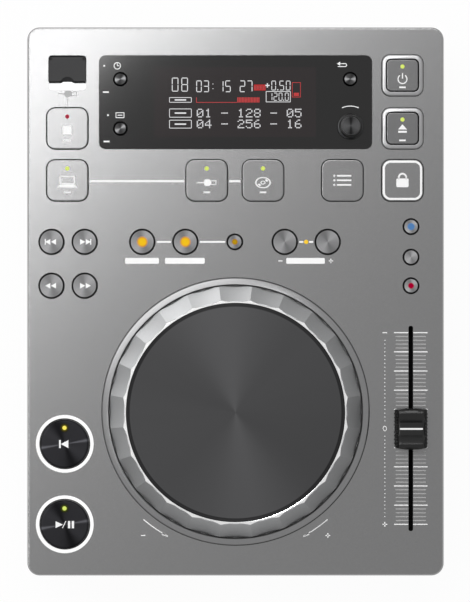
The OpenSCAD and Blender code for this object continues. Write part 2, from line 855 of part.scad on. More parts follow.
module rear_plate() {
  color("gainsboro") difference() {
    recess_box(recess_wall, recess_y - sheet_t, recess_y);
    for (x = phono_x) translate([x, recess_y - 2 * sheet_t, socket_z])
      y_rod(phono_r + 2 * seat_gap, 3 * sheet_t);
    translate([jack_x, recess_y - 2 * sheet_t, socket_z]) y_rod(4.2, 3 * sheet_t);
    block([usb_b_x - 6.2, recess_y - 2 * sheet_t, low_board_z + board_t - 0.2],
      [usb_b_x + 6.2, recess_y + sheet_t, socket_z + 5.7]);
  }
}

module phono_socket(x) {
  board_top = low_board_z + board_t;
  block([x - 6.5, recess_y - sheet_t - 13, board_top], [x + 6.5, recess_y - sheet_t, socket_z + 6.5]);
  translate([x, recess_y, socket_z]) difference() {
    union() {
      y_rod(phono_r, phono_len);
      translate([0, -sheet_t - cut, 0]) y_rod(phono_r + seat_gap, sheet_t + cut);
    }
    translate([0, 1, 0]) y_rod(1.6, phono_len);
  }
}

module control_jack() {
  depth = 15;
  translate([0, recess_y - sheet_t, 0]) difference() {
    union() {
      block([jack_x - 5, -12, low_board_z + board_t], [jack_x + 5, 0, socket_z + 5]);
      translate([jack_x, -cut, socket_z]) y_rod(3.9, sheet_t + 2.4 + cut);
    }
    translate([jack_x, sheet_t + 2.4 - depth, socket_z]) y_rod(jack_r, depth + cut);
  }
}

module data_socket() {
  front = recess_y + 1;
  difference() {
    block([usb_b_x - 6, recess_y - 16, low_board_z + board_t], [usb_b_x + 6, front, socket_z + 5.5]);
    block([usb_b_x - 4.25, recess_y - 11, socket_z - 3.9], [usb_b_x + 4.25, front + cut, socket_z + 3.9]);
  }
  block([usb_b_x - 2.8, recess_y - 11.5, socket_z - 1.6], [usb_b_x + 2.8, front - 1, socket_z + 1.6]);
}

module mains_inlet() {
  depth = 12;
  translate([inlet_x, case_rear_y, socket_z]) {
    difference() {
      block([-inlet_w / 2, -18, -inlet_h / 2], [inlet_w / 2, 0, inlet_h / 2]);
      translate([0, -depth, 0]) rotate([-90, 0, 0]) slab(17.2, 8.6, depth + cut, 4.2);
    }
    for (x = [-4.3, 4.3]) translate([x, -depth - cut, 0]) y_rod(1.2, 9 + cut);
  }
}

module rear_sockets() {
  color("darkslategray") {
    for (x = phono_x) phono_socket(x);
    control_jack();
    data_socket();
    mains_inlet();
  }
}

// ---------- disc slot ----------

module slot_bezel() {
  color("black") difference() {
    union() {
      translate([0, bezel_front_y, slot_z]) rotate([-90, 0, 0])
        slab(bezel_w, bezel_h, bezel_lip, 3);
      block([-bezel_w / 2 + 1.3, bezel_front_y, slot_z - bezel_h / 2 + 1.3],
        [bezel_w / 2 - 1.3, bezel_back_y, slot_z + bezel_h / 2 - 1.3]);
    }
    block([-slot_w / 2, bezel_front_y - cut, path_floor], [slot_w / 2, bezel_back_y + cut, ceiling_z]);
  }
}

module slot_felts() {
  felt_t = 1.4;
  color("dimgray") for (side = [-1, 1])
    translate([-slot_w / 2, bezel_back_y, side > 0 ? slot_z + 0.5 : slot_z - path_half - 1.5])
      cube([slot_w, felt_t, path_half + 1]);
}

// ---------- boards ----------

// Board below the buttons of the rear half, with an ear at each side
module panel_board_outline() {
  edge = body_w / 2 - 6.2;
  polygon([[-edge, row_search - 10], [left_x + 16, row_search - 10], [left_x + 16, row_loop - 17],
    [edge_x - 12, row_loop - 17], [edge_x - 12, row_search - 10], [edge, row_search - 10],
    [edge, body_d / 2 - 6.5], [left_x + 14, body_d / 2 - 6.5], [left_x + 14, door_y - 11],
    [-edge, door_y - 11]]);
}

module circuit_boards() {
  color("seagreen") {
    translate([0, 0, board_z - board_t]) linear_extrude(board_t) panel_board_outline();
    block([cue_x - 15.5, play_at[1] - 15, board_z - board_t], [cue_x + 15.5, cue_at[1] + 17, board_z]);
    for (b = low_boards)
      block([b[0], b[1], low_board_z], [b[2], b[3], low_board_z + board_t]);
  }
}

module switch_body(at) {
  translate([at[0], at[1], board_z]) {
    translate([-3, -3, 0]) cube([6, 6, 3.5]);
    cylinder(r = 1.7, h = switch_h);
  }
}

module encoder_body() {
  translate([knob_at[0], knob_at[1], board_z]) difference() {
    translate([-encoder_w / 2, -encoder_w / 2, 0]) cube([encoder_w, encoder_w, encoder_h]);
    translate([0, 0, 1]) cylinder(r = rotor_r + run_gap, h = encoder_h - 2);
    cylinder(r = rotor_neck_r + run_gap, h = encoder_h + cut);
  }
}

module panel_switches() {
  color("dimgray") {
    for (p = switch_places) switch_body(p);
    encoder_body();
  }
}

module board_parts() {
  top = low_board_z + board_t;
  s = supply_board;
  m = main_board;
  color("darkgoldenrod") {
    block([s[0] + 14, s[1] + 34, top], [s[0] + 50, s[1] + 64, top + 24]);
    for (x = [22, 38]) translate([s[0] + x, s[1] + 18, top]) cylinder(r = 6.5, h = 20);
    block([s[0] + 14, s[1] + 72, top], [s[0] + 17, s[1] + 98, top + 18]);
    for (x = [24, 54, 84]) block([m[0] + x, m[1] + 20, top], [m[0] + x + 18, m[1] + 38, top + 2]);
    for (x = [20, 34]) translate([m[0] + x, m[1] + 60, top]) cylinder(r = 4, h = 11);
    block([m[0] + 56, m[1] + 54, top], [m[0] + 84, m[1] + 66, top + 1.6]);
  }
}

// ---------- select knob ----------

module select_knob() {
  skirt_h = 2.4;
  z = panel_z + knob_lift;
  color("black") translate([knob_at[0], knob_at[1], 0]) {
    translate([0, 0, z]) rotate_extrude()
      polygon([[0, 0], [knob_r, 0], [knob_r, skirt_h - 0.5], [knob_r - 0.4, skirt_h],
        [knob_top_r + 0.4, skirt_h + 0.4], [knob_top_r, knob_h - 0.8],
        [knob_top_r - 0.8, knob_h], [0, knob_h]]);
    translate([0, 0, board_z + 2]) cylinder(r = knob_shaft_r, h = z - board_z - 2 + cut);
  }
}

module encoder_rotor() {
  color("dimgray") translate([knob_at[0], knob_at[1], board_z + 1.1]) difference() {
    union() {
      cylinder(r = rotor_r, h = encoder_h - 2.2);
      cylinder(r = rotor_neck_r, h = encoder_h - 1);
    }
    translate([0, 0, -cut]) cylinder(r = knob_shaft_r + run_gap, h = encoder_h + 2 * cut);
  }
}

// ---------- memory port ----------

module port_door() {
  barrel_w = door_w - 2 * door_corner_r;
  // what dips into the panel when the door stands up
  heel_d = door_axis_r + door_top_drop + seat_gap;
  color("black") {
    difference() {
      union() {
        intersection() {
          translate([left_x, door_y, door_axis_z - door_axis_r]) linear_extrude(door_t)
            door_outline(door_w, door_d, door_corner_r);
          block([left_x - door_w, door_front_y - cut, door_axis_z - door_t],
            [left_x + door_w, door_axis_y, panel_z + cut]);
        }
        translate([left_x, door_axis_y, door_axis_z]) x_rod(door_axis_r, barrel_w);
      }
      // steps at the rear corners, which clear the panel's round corners
      for (side = [-1, 1])
        translate([left_x + side * (barrel_w / 2 + door_corner_r), door_axis_y - heel_d / 2 + cut / 2,
          door_axis_z + 0.1 + door_t / 2])
          cube([2 * door_corner_r, heel_d + cut, door_t], center = true);
      // finger dimple at the front edge
      translate([left_x, door_front_y - 1.5, panel_z + 3.4]) sphere(r = 5.2);
    }
    translate([left_x, door_axis_y, door_axis_z]) x_rod(door_pin_r, door_w + 2 * door_pin_len);
  }
}

module port_socket() {
  color("black") difference() {
    translate([left_x, door_y, tub_floor_z - tub_wall])
      slab(tub_w, tub_d, under_z - tub_floor_z + tub_wall, tub_r);
    translate([left_x, door_y, tub_floor_z])
      slab(tub_w - 2 * tub_wall, tub_d - 2 * tub_wall, under_z - tub_floor_z + cut,
        tub_r - tub_wall);
    block([left_x - port_w / 2 - trim_gap, door_y - port_d / 2 - trim_gap,
      tub_floor_z - 2 * tub_wall],
      [left_x + port_w / 2 + trim_gap, door_y + port_d / 2 + trim_gap, tub_floor_z + cut]);
  }
  color("silver") translate([left_x, door_y, tub_floor_z - port_h]) {
    difference() {
      union() {
        block([-port_w / 2, -port_d / 2, 0], [port_w / 2, port_d / 2, port_h]);
        block([-port_w / 2 - port_lip, -port_d / 2 - port_lip, port_h - tub_wall - port_lip],
          [port_w / 2 + port_lip, port_d / 2 + port_lip, port_h - tub_wall]);
      }
      block([-port_w / 2 + port_wall, -port_d / 2 + port_wall, 2],
        [port_w / 2 - port_wall, port_d / 2 - port_wall, port_h + cut]);
    }
    block([-5.6, port_d / 2 - port_wall - 2.2, 1.5], [5.6, port_d / 2 - port_wall - 0.4, port_h - 1]);
  }
}

// ---------- jog wheel ----------

// Slanted cylinder that hollows one finger dimple out of the dial's side
module dial_dimple() {
  translate([rim_mid_r, 0, jog_h]) rotate([0, -dimple_slope, 0])
    translate([dimple_r, 0, -2 * jog_h]) cylinder(r = dimple_r, h = 3 * jog_h);
}

module jog_dial() {
  skirt_t = 2.5;
  web = web_z - panel_z;
  hub_top = hub_top_z - panel_z;
  color("silver") translate([0, jog_y, panel_z]) {
    difference() {
      rotate_extrude() polygon([[dial_r - skirt_t, dial_lift], [dial_r, dial_lift],
        [dial_r, dial_foot_h], [rim_r, jog_h - rim_edge], [rim_r - rim_edge, jog_h],
        [rim_inner_r + rim_edge, jog_h], [rim_inner_r, jog_h - rim_edge],
        [rim_inner_r, web + web_t], [hub_r, web + web_t],
        [hub_r, hub_top], [post_r + run_gap, hub_top], [post_r + run_gap, hub_foot_z - panel_z],
        [hub_r, hub_foot_z - panel_z], [hub_r, web], [rim_inner_r + 0.5, web],
        [dial_r - skirt_t - 1.5, web - 1]]);
      for (i = [0 : dimples - 1])
        rotate([0, 0, i * 360 / dimples]) dial_dimple();
      for (a = [90 : 120 : 330])
        rotate([0, 0, a]) translate([platter_stem_at, 0, web - cut])
          cylinder(r = platter_stem_r + seat_gap, h = web_t + 2 * cut);
    }
    // slit ring of the speed sensor
    translate([0, 0, 2]) tube(slit_ring_r + 0.8, slit_ring_r, web - 1.8);
  }
}

module jog_platter() {
  color("dimgray") translate([0, jog_y, platter_z]) {
    rotate_extrude() polygon([[0, -platter_t], [platter_r, -platter_t], [platter_r, -platter_edge],
      [platter_r - platter_edge, 0], [platter_r - groove_outer, 0],
      [platter_r - groove_outer, -groove_depth], [platter_r - groove_inner, -groove_depth],
      [platter_r - groove_inner, 0], [0, 0]]);
    for (a = [90 : 120 : 330]) rotate([0, 0, a]) translate([platter_stem_at, 0, 0]) {
      foot = web_z - seat_gap - platter_z;
      translate([0, 0, foot - cut]) cylinder(r = platter_stem_r, h = cut - platter_t / 2 - foot);
      translate([0, 0, foot - 1.3]) cylinder(r = 3.2, h = 1.3);
    }
  }
}

module jog_base() {
  color("black") translate([0, jog_y, 0]) {
    difference() {
      union() {
        translate([0, 0, under_z - base_plate_t]) cylinder(r = base_r, h = base_plate_t);
        translate([0, 0, under_z - cut]) cylinder(r = hub_r - 1, h = hub_foot_z - under_z + cut);
        translate([0, 0, under_z - cut]) cylinder(r = post_r, h = hub_top_z + 0.2 - under_z + cut);
        translate([0, 0, hub_top_z + 0.1]) cylinder(r = post_r + 2, h = 1.2);
      }
      translate([0, 0, hub_top_z - 6]) cylinder(r = 1.4, h = 8);
    }
    // sensor that straddles the slit ring
    difference() {
      block([-4, slit_ring_r - 2, under_z - 0.5], [4, slit_ring_r + 2.8, panel_z + 4.5]);
      block([-4 - cut, slit_ring_r - 0.6, panel_z + 1.3],
        [4 + cut, slit_ring_r + 1.6, panel_z + 5]);
    }
  }
}

// ---------- pitch fader ----------

module fader_cap() {
  z = panel_z + fader_cap_lift;
  top_w = fader_cap_w - 3.6;
  color("black") translate([fader_x, fader_y, z]) difference() {
    // tapered across, with a saddle scooped along
    intersection() {
      rotate([90, 0, 0]) linear_extrude(fader_cap_d, center = true)
        polygon([[-fader_cap_w / 2, 0], [fader_cap_w / 2, 0], [top_w / 2, fader_cap_h],
          [-top_w / 2, fader_cap_h]]);
      rotate([90, 0, 90]) linear_extrude(fader_cap_w, center = true) difference() {
        polygon([[-fader_cap_d / 2, 0], [fader_cap_d / 2, 0],
          [fader_cap_d / 2 - 0.8, fader_cap_h - 1], [fader_cap_d / 2 - 2, fader_cap_h],
          [2 - fader_cap_d / 2, fader_cap_h], [0.8 - fader_cap_d / 2, fader_cap_h - 1]]);
        translate([0, fader_cap_h + 12.6]) circle(r = 15.8);
      }
    }
    translate([-lever_t / 2, -lever_d / 2, -cut]) cube([lever_t, lever_d, 4 + cut]);
  }
  color("silver") translate([fader_x, fader_y, 0]) {
    translate([-lever_t / 2, -lever_d / 2, fader_body_z + 4])
      cube([lever_t, lever_d, z + 4 - fader_body_z - 4]);
    difference() {
      block([-4, -carriage_d / 2, fader_body_z + 1.8], [4, carriage_d / 2, fader_body_z + 6.8]);
      translate([2.2, -carriage_d, fader_body_z + 4.3]) y_rod(1 + run_gap, 2 * carriage_d);
    }
  }
}

module fader_body() {
  w = fader_body_w;
  d = fader_body_d;
  t = 1.2;
  color("gray") translate([fader_x, fader_y, fader_body_z]) {
    difference() {
      block([-w / 2, -d / 2, 0], [w / 2, d / 2, fader_body_h]);
      block([-w / 2 + t, -d / 2 + t, t], [w / 2 - t, d / 2 - t, fader_body_h - t]);
      block([-1.5, -fader_slot_d / 2, fader_body_h - t - cut], [1.5, fader_slot_d / 2, fader_body_h + cut]);
    }
    translate([2.2, -d / 2 + t / 2, 4.3]) y_rod(1, d - t);
    for (side = [-1, 1]) translate([0, side * (d / 2 - 4), fader_body_h - t / 2])
      cylinder(r = 3.2, h = under_z - fader_body_z - fader_body_h + t / 2);
  }
}

// ---------- disc drive ----------

module rod_post(x, y) {
  difference() {
    block([x - 3, y, drive_top - sheet_t / 2], [x + 3, y + rod_post_t, rod_z + 3]);
    translate([x, y - cut, rod_z]) y_rod(rod_r + run_gap, rod_post_t + 2 * cut);
  }
}

module drive_chassis() {
  half = drive_w / 2;
  color("lightsteelblue") {
    difference() {
      union() {
        block([-half, drive_front, drive_z], [half, drive_rear, drive_top]);
        for (side = [-1, 1])
          block([side > 0 ? half - sheet_t : -half, drive_front, drive_z],
            [side > 0 ? half : -half + sheet_t, drive_rear, lid_z]);
        block([-half, drive_rear - sheet_t, drive_z], [half, drive_rear, lid_z]);
        for (x = [-rod_x, rod_x]) {
          rod_post(x, rod_front - rod_post_t);
          rod_post(x, rod_rear - rod_post_t);
        }
      }
      translate([0, roller_axis_y, roller_axis_z]) x_rod(roller_shaft_r + run_gap, drive_w + 2);
      translate([pinion_at[0], pinion_at[1], drive_z - cut])
        cylinder(r = 2.4, h = sheet_t + 2 * cut);
    }
  }
}

module drive_lid() {
  half = drive_w / 2;
  color("lightsteelblue") {
    difference() {
      block([-half, drive_front, lid_z], [half, drive_rear, lid_top]);
      translate([0, spindle_y, lid_z - cut]) cylinder(r = turntable_r + 2, h = sheet_t + 2 * cut);
      block([-arm_w / 2 - 1.5, spindle_y, lid_z - cut],
        [arm_w / 2 + 1.5, arm_axis_y - 6, lid_top + cut]);
    }
    // guide rails that the disc slides under
    for (x = [-50, 47])
      block([x, drive_front + 4, ceiling_z], [x + 3, drive_rear - 6, lid_z + sheet_t / 2]);
    for (side = [-1, 1]) difference() {
      x = side > 0 ? arm_w / 2 + lug_gap : -arm_w / 2 - lug_gap - sheet_t;
      block([x, arm_axis_y - 3, lid_top - sheet_t / 2],
        [x + sheet_t, arm_axis_y + 3, arm_axis_z + 3]);
      translate([x, arm_axis_y, arm_axis_z]) x_rod(arm_pin_r + run_gap, 5);
    }
  }
}

module roller_frame() {
  plate_x = roller_plate_x + roller_plate_t / 2;
  collar = drive_w / 2 - sheet_t - seat_gap - roller_plate_x;
  color("slategray") difference() {
    union() {
      for (side = [-1, 1]) {
        translate([side * plate_x, roller_y, roller_z]) x_rod(3.2, roller_plate_t);
        translate([side * plate_x, roller_axis_y, roller_axis_z]) x_rod(3.6, roller_plate_t);
        translate([side * plate_x - roller_plate_t / 2, 0, 0]) rotate([90, 0, 90])
          linear_extrude(roller_plate_t)
            polygon([[roller_y + 0.7, roller_z - 3.1], [roller_y + 0.7, roller_z + 3.1],
              [roller_axis_y + 0.8, roller_axis_z + 3.5], [roller_axis_y - 0.8, roller_axis_z - 3.5]]);
        translate([side * (roller_plate_x + collar / 2), roller_axis_y, roller_axis_z])
          x_rod(2.6, collar);
      }
      translate([0, roller_axis_y, roller_axis_z]) x_rod(2, 2 * roller_plate_x + 1);
      translate([0, roller_axis_y, roller_axis_z]) x_rod(roller_shaft_r, drive_w + 2 * axle_end);
    }
    translate([0, roller_y, roller_z]) x_rod(roller_shaft_r + run_gap, drive_w);
  }
}

module loading_roller() {
  outer = roller_plate_x + roller_plate_t + seat_gap;
  color("black") translate([0, roller_y, roller_z]) {
    x_rod(roller_r, 2 * roller_half);
    x_rod(roller_shaft_r, 2 * outer + 3);
    for (side = [-1, 1]) translate([side * (outer + 0.5), 0, 0]) x_rod(2.6, 1);
    for (side = [-1, 1]) translate([side * (roller_half + 1), 0, 0]) x_rod(2.2, 2.4);
  }
}

module clamp_arm() {
  len = arm_axis_y - spindle_y;
  color("slategray") difference() {
    union() {
      block([-arm_w / 2, spindle_y - 9, arm_z], [arm_w / 2, arm_axis_y, arm_z + arm_t]);
      translate([0, arm_axis_y, arm_axis_z]) x_rod(arm_t, arm_w);
      translate([0, arm_axis_y, arm_axis_z]) x_rod(arm_pin_r, arm_w + 2 * (lug_gap + sheet_t + pin_end));
    }
    translate([0, spindle_y, arm_z - cut]) cylinder(r = clamper_neck_r + 0.5, h = arm_t + 2 * cut);
    block([-5, spindle_y + 16, arm_z - cut], [5, spindle_y + len - 12, arm_z + arm_t + cut]);
  }
}

module clamper() {
  disc_h = 1.8;
  color("black") translate([0, spindle_y, 0]) difference() {
    union() {
      translate([0, 0, ceiling_z]) cylinder(r = turntable_r, h = disc_h);
      translate([0, 0, ceiling_z]) cylinder(r = clamper_neck_r, h = arm_z + arm_t + 1 - ceiling_z);
      translate([0, 0, arm_z + arm_t + seat_gap]) soft_disc(7, 1.2, 0.4);
    }
    translate([0, 0, ceiling_z - cut]) cylinder(r = hub_cone_r + 2.1, h = 1.2 + cut);
  }
}

module turntable() {
  color("dimgray") translate([0, spindle_y, 0]) {
    rotate_extrude() polygon([[0, seat_z - 1.6], [turntable_r, seat_z - 1.6], [turntable_r, seat_z],
      [hub_cone_r, seat_z], [hub_cone_r, seat_z + 0.7], [hub_cone_r - 0.8, seat_z + 1.2],
      [0, seat_z + 1.2]]);
    translate([0, 0, drive_top + 1.4]) cylinder(r = 1.25, h = seat_z - drive_top - 2);
  }
}

module drive_motors() {
  motor_h = seat_z - 1.6 - 1 - drive_top;
  color("gray") {
    // spindle motor
    translate([0, spindle_y, drive_top]) difference() {
      soft_disc(motor_r, motor_h, 0.8);
      translate([0, 0, 1.3]) cylinder(r = 1.25 + run_gap, h = motor_h);
    }
    // feed motor, below the chassis
    translate([pinion_at[0], pinion_at[1], drive_z - feed_motor_h]) difference() {
      cylinder(r = feed_motor_r, h = feed_motor_h);
      translate([0, 0, 1]) cylinder(r = 1 + run_gap, h = feed_motor_h);
    }
    // loading motor
    translate([-45, roller_axis_y + 18, drive_top]) {
      translate([0, 0, 7]) x_rod(7, 24);
      block([-10, -5, 0], [10, 5, 4]);
    }
  }
}

// One straight-sided tooth along +X, its pitch line at x = 0, sunk into what carries it
module tooth(sink) {
  polygon([[-gear_low - sink, -tooth_w / 2 - tooth_slope * gear_low],
    [gear_high, -tooth_w / 2 + tooth_slope * gear_high],
    [gear_high, tooth_w / 2 - tooth_slope * gear_high],
    [-gear_low - sink, tooth_w / 2 + tooth_slope * gear_low]]);
}

module gear_outline(teeth) {
  pitch_r = gear_module * teeth / 2;
  circle(r = pitch_r - gear_low);
  for (i = [0 : teeth - 1]) rotate(180 + i * 360 / teeth) translate([pitch_r, 0]) tooth(0.3);
}

module feed_pinion() {
  color("ivory") translate([pinion_at[0], pinion_at[1], 0]) {
    translate([0, 0, pinion_z]) linear_extrude(pinion_h) gear_outline(pinion_teeth);
    translate([0, 0, drive_z - feed_motor_h + 1.3])
      cylinder(r = 1, h = pinion_z + pinion_h / 2 - drive_z + feed_motor_h - 1.3);
    translate([0, 0, drive_top + 0.2]) cylinder(r = 2, h = pinion_z - drive_top);
  }
}

module sled_rack() {
  pitch = PI * gear_module;
  first = -floor((sled_travel + 4) / pitch);
  translate([0, pinion_at[1], pinion_z + 0.4]) linear_extrude(pinion_h - 0.8) {
    translate([rack_x - gear_low - 3, (first - 0.5) * pitch])
      square([3, (1.5 - first) * pitch]);
    for (i = [first : 0]) translate([rack_x, (i + 0.5) * pitch]) tooth(0.2);
  }
}

module pickup_sled() {
  color("dimgray") {
    difference() {
      block([-rod_x - 5, sled_y - sled_d / 2, rod_z - sled_h / 2],
        [rack_x - 3, sled_y + sled_d / 2, rod_z + sled_h / 2]);
      for (x = [-rod_x, rod_x]) translate([x, sled_y - sled_d, rod_z])
        y_rod(rod_r + run_gap, 2 * sled_d);
    }
    translate([0, sled_y - 1, rod_z + sled_h / 2]) cylinder(r = 4, h = 1.4);
    sled_rack();
  }
}

module guide_rods() {
  color("silver") for (x = [-rod_x, rod_x])
    translate([x, rod_front - rod_post_t, rod_z])
      y_rod(rod_r, rod_rear - trim_gap - rod_front + rod_post_t);
}

top_panel();
side_frame();
lower_case();
rubber_feet();
screws_and_spacers();
rear_plate();
rear_sockets();
slot_bezel();
slot_felts();
display_window();
display_module();
circuit_boards();
panel_switches();
board_parts();
trim_rings();
cue_button();
play_button();
track_back_button();
track_forward_button();
search_back_button();
search_forward_button();
loop_in_button();
loop_out_button();
reloop_button();
beat_minus_button();
beat_plus_button();
vinyl_button();
tempo_range_button();
master_tempo_button();
usb_stop_button();
computer_button();
usb_source_button();
disc_source_button();
playlist_button();
bpm_lock_button();
power_button();
eject_button();
time_mode_button();
display_mode_button();
back_button();
select_knob();
encoder_rotor();
port_door();
port_socket();
jog_dial();
jog_platter();
jog_base();
fader_cap();
fader_body();
drive_chassis();
drive_lid();
roller_frame();
loading_roller();
clamp_arm();
clamper();
drive_motors();
turntable();
pickup_sled();
guide_rods();
feed_pinion();
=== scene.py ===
"""Looks of a tabletop disc player with a jog wheel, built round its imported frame."""

import json
import math

import bpy
from mathutils import Matrix, Vector


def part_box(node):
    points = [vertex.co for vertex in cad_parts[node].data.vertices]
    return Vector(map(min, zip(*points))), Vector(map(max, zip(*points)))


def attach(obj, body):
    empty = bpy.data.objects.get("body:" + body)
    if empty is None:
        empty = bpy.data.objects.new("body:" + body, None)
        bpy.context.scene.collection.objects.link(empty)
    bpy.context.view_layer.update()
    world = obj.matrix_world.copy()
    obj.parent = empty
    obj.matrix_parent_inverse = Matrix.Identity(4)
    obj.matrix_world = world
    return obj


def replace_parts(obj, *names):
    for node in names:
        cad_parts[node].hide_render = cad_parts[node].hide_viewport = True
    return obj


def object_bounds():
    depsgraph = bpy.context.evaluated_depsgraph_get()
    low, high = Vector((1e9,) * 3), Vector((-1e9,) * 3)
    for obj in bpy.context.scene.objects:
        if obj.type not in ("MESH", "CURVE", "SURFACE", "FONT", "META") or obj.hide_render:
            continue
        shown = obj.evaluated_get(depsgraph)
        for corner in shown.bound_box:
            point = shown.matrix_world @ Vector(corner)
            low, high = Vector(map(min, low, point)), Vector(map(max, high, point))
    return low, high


bl_info = {
    "name": "Tabletop Disc Player",
    "version": (1, 0, 0),
    "blender": (4, 5, 0),
    "location": "View3D > Sidebar > Disc Player",
    "description": "Finishes, printed marks and small fittings of a tabletop disc player",
    "category": "Object",
}

MM = 0.001

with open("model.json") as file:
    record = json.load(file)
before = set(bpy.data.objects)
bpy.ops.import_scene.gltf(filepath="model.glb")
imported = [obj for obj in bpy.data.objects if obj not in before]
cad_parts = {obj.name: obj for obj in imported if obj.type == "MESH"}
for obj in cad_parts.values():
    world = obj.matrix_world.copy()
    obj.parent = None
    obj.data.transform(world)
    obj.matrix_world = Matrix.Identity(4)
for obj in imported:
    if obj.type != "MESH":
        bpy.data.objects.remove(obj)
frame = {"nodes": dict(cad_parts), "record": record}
cad_low, cad_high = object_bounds()


def middle(node):
    """Centre of a CAD node's box."""
    low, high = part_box(node)
    return (low + high) / 2


def top_of(node):
    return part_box(node)[1].z


PANEL_Z = top_of("top_panel")
WINDOW_Z = top_of("display_window")
JOG = middle("jog_dial")
FADER = middle("fader_cap")
KNOB = middle("select_knob")


# ---------- settings ----------


def colour_property(name, description, value):
    return bpy.props.FloatVectorProperty(
        name=name, description=description, subtype="COLOR", size=3, min=0, max=1, default=value
    )


def length_property(name, description, value):
    return bpy.props.FloatProperty(
        name=name, description=description, unit="LENGTH", min=0, default=value
    )


def number_property(name, description, value):
    return bpy.props.FloatProperty(name=name, description=description, default=value)


class FinishSettings(bpy.types.PropertyGroup):
    """Colours of the paints, plastics and metals."""

    panel: colour_property("Panel paint", "Metallic paint of panel and sides", (0.168, 0.168, 0.169))
    button: colour_property("Button paint", "Metallic paint of the square buttons", (0.158, 0.158, 0.159))
    framed: colour_property("Framed buttons", "Paint of power and eject", (0.115, 0.115, 0.116))
    spun: colour_property("Spun metal", "Turned tops of the round buttons", (0.115, 0.115, 0.117))
    transport: colour_property("Transport caps", "Turned tops of cue and play", (0.014, 0.014, 0.0155))
    dial: colour_property("Dial paint", "Bright paint of the jog dial's facets", (0.435, 0.439, 0.444))
    rim: colour_property("Dial rim", "Polished rim of the jog dial", (0.62, 0.62, 0.62))
    ring: colour_property("Ring paint", "Paint of the fixed ring round the dial", (0.185, 0.185, 0.187))
    platter: colour_property("Platter", "Turned top of the jog wheel", (0.037, 0.037, 0.038))
    window: colour_property("Window", "Tinted display window", (0.004, 0.0038, 0.0038))
    case: colour_property("Lower case", "Moulded plastic of the lower case", (0.03, 0.03, 0.031))
    trim: colour_property("Trim", "Bright silver of the surrounds", (0.24, 0.24, 0.243))


class PrintSettings(bpy.types.PropertyGroup):
    """Printed marks on the panel, the window and the buttons."""

    white: colour_property("White ink", "Colour of the main marks", (0.92, 0.92, 0.92))
    pale: colour_property("Pale ink", "Colour of the fader's minor ticks", (0.4, 0.4, 0.4))
    rise: length_property("Thickness", "Thickness of the ink", 0.03 * MM)
    line: length_property("Line width", "Width of the lines between buttons", 1.1 * MM)
    stroke: length_property("Stroke", "Stroke of the pictograms", 0.55 * MM)


class LampSettings(bpy.types.PropertyGroup):
    """Indicator lamps and the display."""

    green: colour_property("Green lamp", "Lamps of the sources and of power", (0.62, 0.74, 0.13))
    red: colour_property("Red lamp", "Lamp of the memory port and of master tempo", (0.3, 0.0, 0.021))
    amber: colour_property("Amber lamp", "Lamps of the loop buttons", (0.88, 0.54, 0.015))
    amber_edge: colour_property("Amber edge", "Rim of an amber lamp's glow", (0.75, 0.3, 0.02))
    yellow: colour_property("Yellow lamp", "Lamp of the cue button", (0.9, 0.75, 0.1))
    blue: colour_property("Blue lamp", "Lamp of the turntable mode", (0.085, 0.21, 0.45))
    digits: colour_property("Digits", "Lit segments of the display", (0.93, 0.93, 0.95))
    meter: colour_property("Meter", "Red bars of the display", (0.5, 0.02, 0.022))
    radius: length_property("Lamp radius", "Radius of the round lamps", 1.1 * MM)


class StageSettings(bpy.types.PropertyGroup):
    """Camera and lamps."""

    distance: length_property("Camera distance", "Height of the camera above the panel", 2.2)
    view: length_property("View height", "Height of the view at the panel", 315.7 * MM)
    key: number_property("Strip lamp", "Watts of the strip lamp", 6.3)
    side: number_property("Side lamp", "Watts of the low lamp, which lights the dial alone", 32.0)
    soft: number_property("Softbox", "Watts of the softbox", 12.0)
    sky: number_property("Sky", "Strength of the world light", 0.35)


def settings(name):
    return getattr(bpy.context.scene, "disc_player_" + name)


# ---------- shader groups ----------


def set_inputs(tree, made, inputs):
    """Sets a node's inputs, or links them where a socket is given."""
    for key, value in inputs.items():
        if isinstance(value, bpy.types.NodeSocket):
            tree.links.new(value, made.inputs[key])
        else:
            made.inputs[key].default_value = value
    return made


def add_node(tree, kind, inputs=None, **values):
    """A node with its properties and inputs set."""
    made = tree.nodes.new(kind)
    for key, value in values.items():
        setattr(made, key, value)
    return set_inputs(tree, made, inputs or {})


def maths(tree, operation, first, second=0.0, third=0.0):
    return add_node(tree, "ShaderNodeMath", {0: first, 1: second, 2: third}, operation=operation).outputs[0]


def inside_box(tree, at, x, y, w, d):
    """1 where a place is inside a box of X and Y."""
    across = maths(tree, "COMPARE", at["X"], x, w / 2)
    return maths(tree, "MULTIPLY", across, maths(tree, "COMPARE", at["Y"], y, d / 2))


def scaled_colour(tree, colour, factor):
    made = add_node(tree, "ShaderNodeVectorMath", {0: colour, "Scale": factor}, operation="SCALE")
    return made.outputs[0]


def varied_colour(tree, given, level):
    """The given colour, made lighter or darker by how far a level lies from a half."""
    offset = maths(tree, "MULTIPLY", maths(tree, "SUBTRACT", level, 0.5), given["Variation"])
    return scaled_colour(tree, given["Colour"], maths(tree, "ADD", offset, 1.0))


def stretched(tree, vector, factors):
    made = add_node(tree, "ShaderNodeVectorMath", {0: vector, 1: factors}, operation="MULTIPLY")
    return made.outputs[0]


def distance_from_axis(tree, vector):
    """Distance from the Z axis."""
    flat = stretched(tree, vector, (1, 1, 0))
    return add_node(tree, "ShaderNodeVectorMath", {0: flat}, operation="LENGTH").outputs["Value"]


